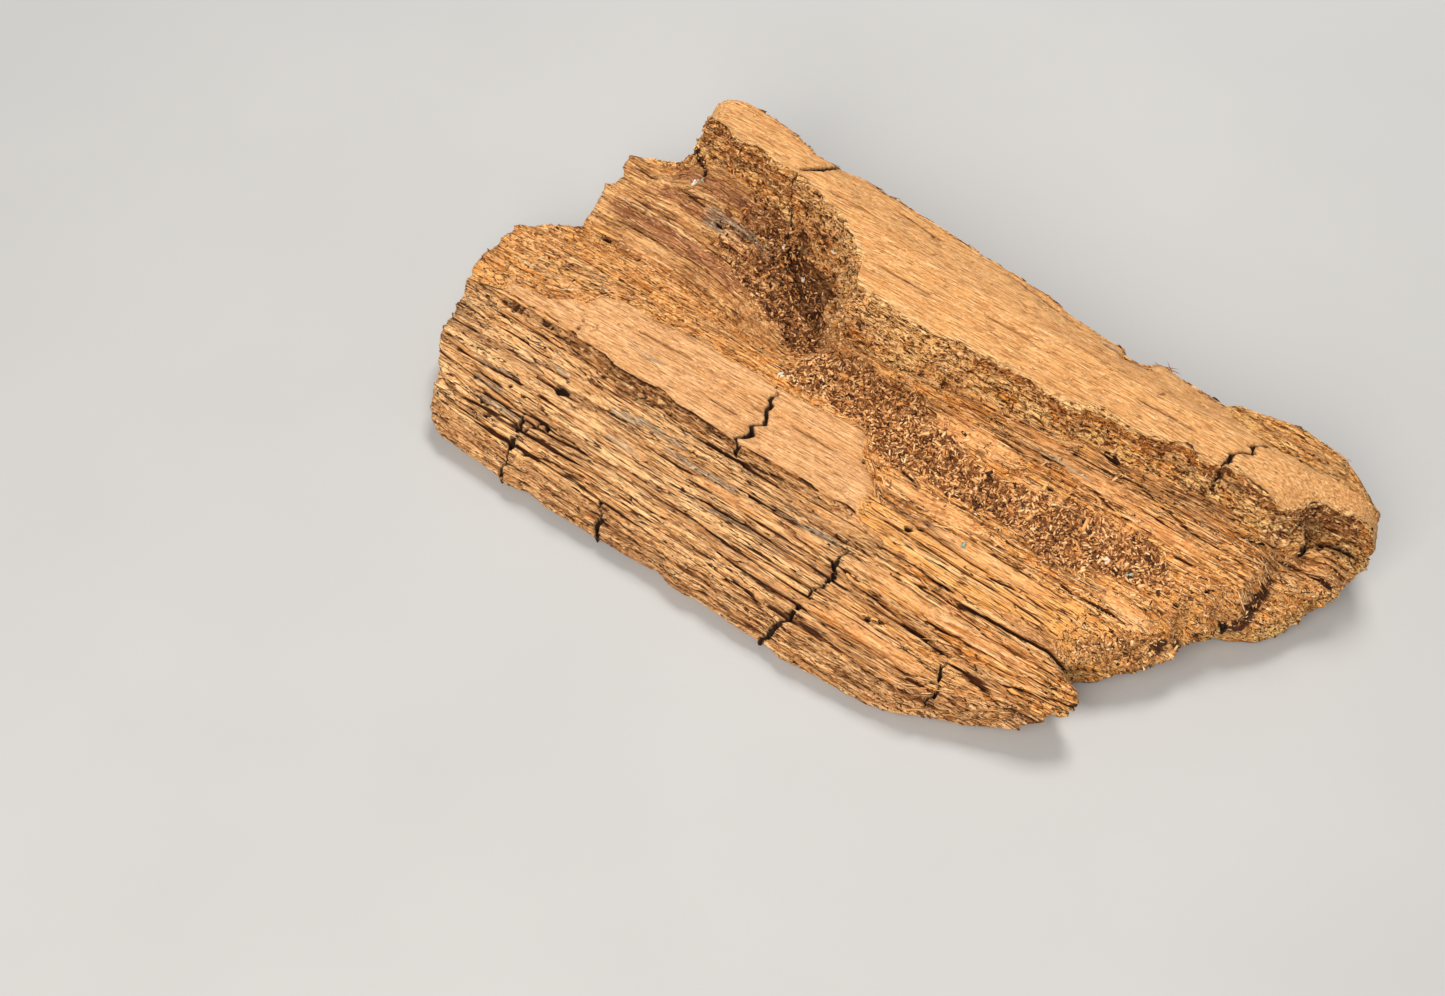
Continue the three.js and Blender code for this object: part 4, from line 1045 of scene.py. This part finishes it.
# Each tint lies over the last: what it follows, where it sets in and is full, its greatest
# share, its dark and pale tone, and the streaks that mix them
TINTS = [
    ("band", 0.2, 0.8, 1.0, "#CA945C", "#FACE96", "bundles"),
    ("rust", 0.2, 0.9, 0.95, "#CE8036", "#FFC47A", "bundles"),
    ("wall", 0.2, 0.8, 1.0, "#D4822E", "#FFD488", "stains"),
    ("side", 0.2, 0.8, 1.0, "#AC7C52", "#ECBC8A", "bundles"),
    ("clean", 0.2, 0.8, 0.8, "#D08C4A", "#F0B274", "bundles"),
    # Painted highlight where the relief is raised
    ("relief_for_painted_light", 0.05, 0.4, 0.62, "#FFC98C", "#FFDCA8", "fibres"),
    ("trough", 0.2, 0.8, 0.85, "#A26C3A", "#E8B67A", "bundles"),
    ("stained", 0.1, 0.9, 0.85, "#7C4830", "#B88058", "bundles"),
    ("olive", 0.2, 0.8, 0.7, "#7A6438", "#D8B67A", "stains"),
    # Painted shade under the plank's near edge and on the block's near wall
    ("niche_shade", 0.1, 0.9, 0.85, "#743A12", "#D88A3C", "stains"),
    ("bowl", 0.1, 0.9, 0.75, "#925626", "#E8A862", "stains"),
    # Painted shade in the hollow of the broken corner and in the bowl's pocket
    ("shaded_cave", 0.1, 0.9, 0.7, "#5A2C10", "#C4823E", "stains"),
    # Painted shade: dark on the bed under the heaped crumbs, and among the debris in the hollow, which is
    # also dark brown of its own
    ("crumbs", 0.3, 0.8, 0.9, "#341709", "#8A5026", "stains"),
    ("debris", 0.3, 0.8, 0.82, "#4A2612", "#AA744A", "stains"),
    # Painted shade on the strip under the ledge
    ("shaded_under_ledge", 0.3, 0.8, 0.8, "#6A4020", "#B88450", "bundles"),
    ("ledge", 0.3, 0.7, 1.0, "#C8925C", "#E0AC78", "fibres"),
    ("plank", 0.3, 0.7, 1.0, "#C68C50", "#E2AC70", "fibres"),
    ("growth layers", 0.5, 0.72, 0.4, "#B87436", "#D09050", "bundles"),
    ("growth layers", 0.46, 0.38, "0.6 rough", "#84532E", "#B4845A", "bundles"),
    ("growth layers", 0.56, 0.66, "0.6 rough", "#E4AC74", "#FFD8A2", "bundles"),
    ("grey", 0.1, 0.8, 0.75, "#756A5A", "#B2A690", "fibres"),
    ("pale", 0.3, 0.9, 0.65, "#DCA870", "#FFD49C", "fibres"),
    # Painted highlight along the top edges of the walls
    ("rim", 0.3, 0.9, 0.75, "#E0A460", "#FFD89C", "fibres"),
    ("fibres", 0.41, 0.34, 0.42, "#9A5C2C", "#B4743C", "stains"),
    ("fibres", 0.58, 0.66, 0.35, "#FFD29A", "#FFDCAC", "stains"),
    ("grains", 0.39, 0.33, 0.42, "#8A4E22", "#A86A36", "stains"),
    ("grains", 0.62, 0.68, 0.35, "#FFDCA8", "#FFE4B8", "stains"),
    # Painted shade in the narrow splits between strands, drawn as dark streaks
    ("shaded_gaps", 0.019, 0.013, "rough", "#2C1408", "#5A2E12", "stains"),
    ("fine gaps", 0.018, 0.012, "0.8 rough", "#40200C", "#6E3E1A", "stains"),
    ("crumble", 0.57, 0.66, "crumbling", "#FFCA8E", "#FFD8A0", "stains"),
    ("crumble", 0.42, 0.36, "crumbling", "#7A4016", "#A86A30", "stains"),
    # Painted shade, nearly black, between the crumbled grains
    ("crumble", 0.38, 0.34, "crumbling", "#3E1A06", "#6E3A14", "stains"),
    ("vessels", 0.33, 0.31, 0.75, "#6E3A14", "#8A5424", "bundles"),
    # Painted shade where the relief is sunk
    ("relief_for_painted_light", -0.24, -0.66, 0.95, "#341606", "#5A2E12", "fibres"),
    # Painted shade at the feet of the layers, in seams, in pockets, below the scarp and under the ledge's
    # edge
    ("gap_shade", 0.25, 0.7, 0.95, "#2E1406", "#4A260E", "fibres"),
    # Painted shade, nearly black, in the cracks, pits and insect holes
    ("hole_shade", 0.2, 1.5, 0.97, "#1C0D05", "#2C160A", "fibres"),
]
tones = {0: readings["bundles"], 6: hex_colour("#CC8038"), 7: hex_colour("#FFCA84")}
colour = add_node(rotted_wood, "Mix", tones, output=2, data_type="RGBA")
for follows, sets_in, is_full, most, dark, pale, mixing in TINTS:
    limits = {"From Min": sets_in, "From Max": is_full, "To Max": readings.get(most, most)}
    share = add_node(rotted_wood, "MapRange", {"Value": readings[follows], **limits})
    limits = {"From Min": 0.36, "From Max": 0.64}
    spread = add_node(rotted_wood, "MapRange", {"Value": readings[mixing], **limits})
    tones = {0: spread, 6: hex_colour(dark), 7: hex_colour(pale)}
    tone = add_node(rotted_wood, "Mix", tones, output=2, data_type="RGBA")
    layers = {0: share, 6: colour, 7: tone}
    colour = add_node(rotted_wood, "Mix", layers, output=2, data_type="RGBA")

# Fine relief of the surface: each streak, the range it rises over, and how many tenths of a
# millimetre it rises where the wood is of that kind
fine_height = 0.0
for name, low, high, tenths, where in (
    ("fibres", 0.3, 0.7, 1.6, "rough"),
    ("threads", 0.3, 0.7, 0.7, "rough"),
    ("shaded_gaps", 0.0, 0.025, 3.5, "rough"),
    ("fine gaps", 0.0, 0.03, 1.6, "rough"),
    ("crumble", 0.33, 0.5, 4.0, "crumbling"),
    ("vessels", 0.32, 0.36, 1.0, "smooth"),
    ("threads", 0.3, 0.7, 0.4, "smooth"),
):
    limits = {"From Min": low, "From Max": high, "To Max": tenths}
    rise = add_node(rotted_wood, "MapRange", {"Value": readings[name], **limits})
    own_height = add_node(rotted_wood, "Math", {0: rise, 1: readings[where]}, operation="MULTIPLY")
    fine_height = add_node(rotted_wood, "Math", {0: fine_height, 1: own_height}, operation="ADD")
reach = {"Height": fine_height, "Strength": 1.0, "Distance": 0.1 * MM}
fibre_bump = add_node(rotted_wood, "Bump", reach)
warmth = {"Fac": readings["rough"], "Hue": 0.4975, "Saturation": 1.05, "Value": 1.08, "Color": colour}
warmed = add_node(rotted_wood, "HueSaturation", warmth)
limits = {"To Min": 0.78, "To Max": 0.98}
dullness = add_node(rotted_wood, "MapRange", {"Value": readings["bundles"], **limits})
look = {"Base Color": warmed, "Roughness": dullness, "IOR": 1.4, "Normal": fibre_bump}
surface = add_node(rotted_wood, "BsdfPrincipled", look)
add_node(rotted_wood, "OutputMaterial", {"Surface": surface})
slab.data.materials.clear()
slab.data.materials.append(rotted_wood)
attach(slab, "root")
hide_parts("decayed_wood")


# Crumbs: the rotten wood breaks into small blunt grains that lie heaped in the bed below the
# high wall and in the hollow, and cling to the crumbling walls. Each is a spindle of 8 corners.
SPINDLE_CORNERS = 8
FLOOR_GAP_MM = 0.5
BLUNT = 0.72


def splinters(centre, axis, lift, length, width, thickness, bluntness, rng):
    """Corners of many splinters at once: each is a spindle of two three-cornered rings, placed the
    bluntness towards its ends along its axis, with a point at each end."""
    count = len(centre)
    side = np.cross(axis, lift)
    twist = rng.uniform(0, 2 * np.pi, count)
    points = np.empty((count, SPINDLE_CORNERS, 3))
    points[:, 0] = centre - axis * (length / 2)[:, None]
    points[:, -1] = centre + axis * (length / 2)[:, None]
    for ring_number, toward in ((0, -1), (1, 1)):
        middle = centre + axis * (toward * bluntness * length / 2)[:, None]
        for corner in range(3):
            angle = twist + corner * 2 * np.pi / 3 + rng.uniform(-0.4, 0.4, count)
            reach = rng.uniform(0.7, 1.2, count)
            points[:, 1 + 3 * ring_number + corner] = (
                middle
                + side * (np.cos(angle) * reach * width / 2)[:, None]
                + lift * (np.sin(angle) * reach * thickness / 2)[:, None]
            )
    return points.reshape(-1, 3)


def splinter_mesh(name, parts, tones):
    """One mesh of all the splinters, each with a tone of its own: three faces round each point and
    six round the middle. All are held off the floor."""
    points = np.concatenate(parts)
    points[:, 2] = np.maximum(points[:, 2], FLOOR_GAP_MM)
    own = [(0, 1, 2), (0, 2, 3), (0, 3, 1), (7, 5, 4), (7, 6, 5), (7, 4, 6)]
    own += [(1, 4, 5), (1, 5, 2), (2, 5, 6), (2, 6, 3), (3, 6, 4), (3, 4, 1)]
    faces = np.arange(0, len(points), SPINDLE_CORNERS)[:, None, None] + np.array(own)
    point_tones = np.repeat(tones, SPINDLE_CORNERS)
    return triangle_mesh(name, points, faces.reshape(-1, 3), {"tone": point_tones})


def unit(vectors):
    """Vectors brought to length one."""
    return vectors / (np.linalg.norm(vectors, axis=-1, keepdims=True) + 1e-9)


def square_to(vectors, axis):
    """Unit vectors left when their share along the axis is taken out."""
    return unit(vectors - axis * (vectors * axis).sum(-1, keepdims=True))


def scatter(density, count, rng):
    """Grid places drawn at random, as often as their density times the face they stand for."""
    spans = np.linalg.norm(np.gradient(upper, axis=0), axis=-1)
    spans = spans * np.linalg.norm(np.gradient(upper, axis=1), axis=-1)
    weight = np.clip(density * spans, 0, None).ravel()
    chosen = rng.choice(weight.size, count, p=weight / weight.sum())
    return np.unravel_index(chosen, density.shape)


skin_normals = grid_normals(box_average(upper, 2, 2))
rng = np.random.default_rng(81)
crumb_parts, crumb_tones = [], []
# Where they are heaped, how many, length, width and height of the heap in millimetres, tone
HEAPS = [
    (crumb_bed, 3900, 1.45, 0.62, 0.9, 0.46),
    (olive, 500, 1.2, 0.65, 0.4, 0.5),
    (strewn, 1500, 1.3, 0.55, 0.3, 0.5),
    (debris, 1500, 1.3, 0.6, 0.7, 0.32),
    (high_wall * (upper_x < 125) * (1 - pocket), 1300, 1.2, 0.65, 0.15, 0.47),
    (loose_wood * (1 - crumb_bed) * (lumps > -0.1), 2000, 1.2, 0.5, 0.08, 0.56),
]
for density, count, length, width, heaped, tone in HEAPS:
    i, j = scatter(density, count, rng)
    lift = unit(skin_normals[i, j] + rng.normal(0, 0.25, (count, 3)))
    heading = unit(np.cross(lift, rng.normal(0, 1, (count, 3))) + [0.35, 0, 0])
    heading = unit(square_to(heading, lift) + lift * rng.normal(0, 0.3, (count, 1)))
    lift = square_to(lift, heading)
    size = rng.lognormal(0, 0.3, count)
    centre = upper[i, j] + rng.uniform(-0.1, heaped, count)[:, None] * skin_normals[i, j]
    crumb_parts.append(
        splinters(centre, heading, lift, length * size, width * size, 0.8 * width * size, BLUNT, rng)
    )
    crumb_tones.append(np.clip(rng.normal(tone, 0.27, count), 0, 0.9))

# Single large chunks and flecks of mould, each of three grains with these shares of its size
SHARES_OF_SIZE = np.array([1.0, 0.75, 0.6])
# Where each lies as x and y, length and width in millimetres, tone
for x0, y0, length, width, tone in (
    (-28.4, -1.4, 4.2, 2.2, 0.5), (-14, -2.6, 4.0, 2.0, 0.45), (-22, 4, 3.4, 1.8, 0.55),
    (4, -6, 3.2, 1.6, 0.6), (28, -9, 3.0, 1.5, 0.7), (52, -6, 2.8, 1.5, 0.65),
    (-107.3, 40, 2.6, 1.8, 0.95), (-70.6, 39.4, 2.2, 1.5, 0.95), (-61, 34.9, 2.2, 1.4, 0.95),
    (-50.4, 37.2, 2.0, 1.2, 0.95), (-38, -8, 2.6, 1.6, 0.95), (78.3, -6.8, 3.2, 2.0, 0.93),
    (86.2, -7.3, 2.8, 1.8, 1.0), (-105.6, 41, 1.6, 1.2, 1.0), (42, -27, 2.2, 1.2, 1.0),
):
    # The nearest place that isn't on the smooth plank
    away = np.hypot(upper_x - x0, upper_y - y0) + 9 * (upper_v > 13.9)
    i, j = np.unravel_index(np.argmin(away), away.shape)
    count = len(SHARES_OF_SIZE)
    lift = unit(np.repeat(skin_normals[i, j][None], count, axis=0) + rng.normal(0, 0.3, (count, 3)))
    heading = unit(np.cross(lift, rng.normal(0, 1, (count, 3))))
    centre = upper[i, j] + rng.normal(0, 0.2 * width, (count, 3)) + 0.5 * skin_normals[i, j]
    lengths, widths = length * SHARES_OF_SIZE, width * SHARES_OF_SIZE
    crumb_parts.append(splinters(centre, heading, lift, lengths, widths, 0.7 * widths, BLUNT, rng))
    crumb_tones.append(np.full(count, tone))
crumbs = splinter_mesh("rotten_crumbs", crumb_parts, np.concatenate(crumb_tones))

# Crumbs of brown rot: matt grains, each of one tone from nearly black to pale straw, and the few
# flecks of mould white or grey-green
crumb_wood = new_material("brown_rot_crumbs")
own_tone = add_node(crumb_wood, "Attribute", output="Fac", attribute_name="tone")
shades = add_node(crumb_wood, "ValToRGB", {"Fac": own_tone})
ramp = shades.node.color_ramp.elements
ramp[0].color = hex_colour("#3A1C0C")
ramp[1].color = hex_colour("#9CAE9A")
for at, code in ((0.27, "#8C542A"), (0.56, "#DE9E5C"), (0.9, "#FFD49A"), (0.95, "#ECE6DA")):
    ramp.new(at).color = hex_colour(code)
place = add_node(crumb_wood, "TexCoord", output="Object")
speck = add_node(crumb_wood, "TexNoise", {"Vector": place, "Scale": 2500, "Detail": 2})
reach = {"Height": speck, "Strength": 0.5, "Distance": 0.2 * MM}
speck_bump = add_node(crumb_wood, "Bump", reach)
look = {"Base Color": shades, "Roughness": 0.9, "IOR": 1.4, "Normal": speck_bump}
surface = add_node(crumb_wood, "BsdfPrincipled", look)
add_node(crumb_wood, "OutputMaterial", {"Surface": surface})
crumbs.data.materials.append(crumb_wood)
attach(crumbs, "root")


# Slivers: torn fibres that stand up from the weathered strands, the broken edges and the walls,
# all nearly along the grain. They are spindles too, thin ones with long points.
SHARP = 0.45
CLEAR_OF_ENDS = 6
rng = np.random.default_rng(82)
sliver_parts, sliver_tones = [], []
inside = (upper_x > left_ends + CLEAR_OF_ENDS) & (upper_x < right_ends - CLEAR_OF_ENDS)
# Where they are torn up, how many, length and width in millimetres, tone
TEARS = [
    (inside * weathered_band * (relief_for_painted_light > 0), 1500, 6.0, 0.36, 0.62),
    (inside * loose_wood * (1 - crumb_bed), 1300, 4.0, 0.38, 0.58),
    (inside * high_wall * (1 - shaded_cave), 300, 3.0, 0.4, 0.5),
    (inside * near_wall * (upper_v > 0.15), 700, 4.0, 0.38, 0.46),
    (inside * far_wall * (upper_v < 18.4), 700, 5.0, 0.4, 0.44),
    (inside * trough * (1 - debris), 250, 4.5, 0.36, 0.49),
]
for density, count, length, width, tone in TEARS:
    i, j = scatter(density * (box_average(hole_depth, 3, 1) < 0.05), count, rng)
    inner = np.clip(i, 2, stations - 3)
    heading = unit(upper[inner + 2, j] - upper[inner - 2, j])
    heading = heading + rng.normal(0, 0.03, (count, 3))
    heading = unit(heading + skin_normals[i, j] * rng.uniform(-0.02, 0.05, (count, 1)))
    lift = square_to(skin_normals[i, j], heading)
    size = rng.lognormal(0, 0.35, count)
    widths = width * size ** 0.5
    centre = upper[i, j] + 0.12 * skin_normals[i, j]
    sliver_parts.append(
        splinters(centre, heading, lift, length * size, widths, 0.7 * widths, SHARP, rng)
    )
    sliver_tones.append(np.clip(rng.normal(tone, 0.2, count), 0, 0.9))
slivers = splinter_mesh("torn_slivers", sliver_parts, np.concatenate(sliver_tones))
slivers.data.materials.append(crumb_wood)
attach(slivers, "root")


# Split strips: where the wood has weathered, whole layers of fibres have come loose and broken
# off short, so thin flat strips with sharp sides lie along the grain, one beside another.
averaged = box_average(upper, 3, 4)
averaged_normals = grid_normals(averaged)


def read_grid(grid, rows, columns):
    """A grid's values at places between its rows and columns, by the shares of the four around."""
    rows = np.clip(rows, 0, grid.shape[0] - 1.001)
    columns = np.clip(columns, 0, grid.shape[1] - 1.001)
    i, j = rows.astype(int), columns.astype(int)
    s, t = (rows - i)[..., None], (columns - j)[..., None]
    near = grid[i, j] * (1 - s) + grid[i + 1, j] * s
    far = grid[i, j + 1] * (1 - s) + grid[i + 1, j + 1] * s
    return near * (1 - t) + far * t


closeness = box_average(hole_depth, 4, 4)[..., None]

# Each strip's stations: how far along it from -0.5 to 0.5, and the share of its width there
STATION_PLACE = np.array([-0.5, -0.43, -0.2, 0.04, 0.26, 0.44, 0.5])
STATION_WIDTH = np.array([0.25, 0.8, 1.0, 1.0, 0.95, 0.75, 0.2])
SUNK_MM = 0.6
rng = np.random.default_rng(83)
strip_points = []
strip_values = {name: [] for name in fields}
# Where they lie, how many, length, width and thickness in millimetres
LAYERS = [
    (inside * weathered_band * (relief_for_painted_light > -0.1), 300, 18, 1.9, 0.5),
    (inside * loose_wood * (1 - crumb_bed), 170, 10, 1.3, 0.45),
    (inside * trough * (1 - debris), 16, 14, 0.9, 0.5),
    (inside * near_wall * (upper_v > 0.3), 60, 11, 1.4, 0.45),
    (inside * far_wall * (upper_v < 18.2), 130, 18, 1.7, 0.45),
    (inside * far_layer, 50, 12, 1.3, 0.45),
    (inside * high_wall * (upper_x > -30), 60, 9, 1.2, 0.4),
]
for density, count, length, width, thickness in LAYERS:
    i, j = scatter(density * (hole_depth < 0.1), count, rng)
    size = rng.lognormal(0, 0.4, count)
    rows = i[:, None] + STATION_PLACE * (length * size / GRAIN_STEP)[:, None]
    half = STATION_WIDTH * (width * size ** 0.5 / 2 / CROSS_STEP)[:, None]
    half = half * rng.uniform(0.75, 1.25, half.shape)
    middle = j[:, None] + rng.normal(0, 0.5, half.shape)
    whole = read_grid(closeness, rows, middle)[..., 0].max(axis=1) < 0.05
    peel = 1 + rng.uniform(-0.4, 1.0, (count, 1)) * (STATION_PLACE + 0.5)
    low = np.full(half.shape, -SUNK_MM)
    columns = np.stack([middle - half, middle + half, middle + half, middle - half], -1)
    lifts = np.stack([low, low, thickness * peel, thickness * peel], -1)
    rows = np.broadcast_to(rows[..., None], columns.shape)
    corners = read_grid(averaged, rows, columns)
    corners = corners + read_grid(averaged_normals, rows, columns) * lifts[..., None]
    strip_points.append(corners[whole].reshape(-1, 3))
    # A strip has the kind of its place, with no painted shade of cracks and holes of its own;
    # it has painted shade at its foot and a painted highlight of random strength along its top
    own_values = {name: field[i, j][:, None, None] for name, field in fields.items()}
    own_values["gap_shade"] = own_values["hole_shade"] = np.zeros((count, 1, 1))
    own_values["relief_for_painted_light"] = np.where(lifts < 0, -1.0, rng.uniform(-0.1, 0.5, (count, 1, 1)))
    for name, own in own_values.items():
        strip_values[name].append(np.broadcast_to(own, columns.shape)[whole].ravel())
strip_points = np.concatenate(strip_points)
strip_points[:, 2] = np.maximum(strip_points[:, 2], FLOOR_GAP_MM)
strip_faces = []
stops = len(STATION_PLACE)
for station, corner in itertools.product(range(stops - 1), range(4)):
    a, b = 4 * station + corner, 4 * station + (corner + 1) % 4
    strip_faces += [(a, b, b + 4), (a, b + 4, a + 4)]
tail = 4 * (stops - 1)
strip_faces += [(0, 3, 2), (0, 2, 1), (tail, tail + 1, tail + 2), (tail, tail + 2, tail + 3)]
starts = np.arange(0, len(strip_points), 4 * stops)[:, None, None]
strip_faces = (starts + np.array(strip_faces)).reshape(-1, 3)
point_values = {name: np.concatenate(parts) for name, parts in strip_values.items()}
strips = triangle_mesh("split_strips", strip_points, strip_faces, point_values)
strips.data.materials.append(rotted_wood)
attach(strips, "root")
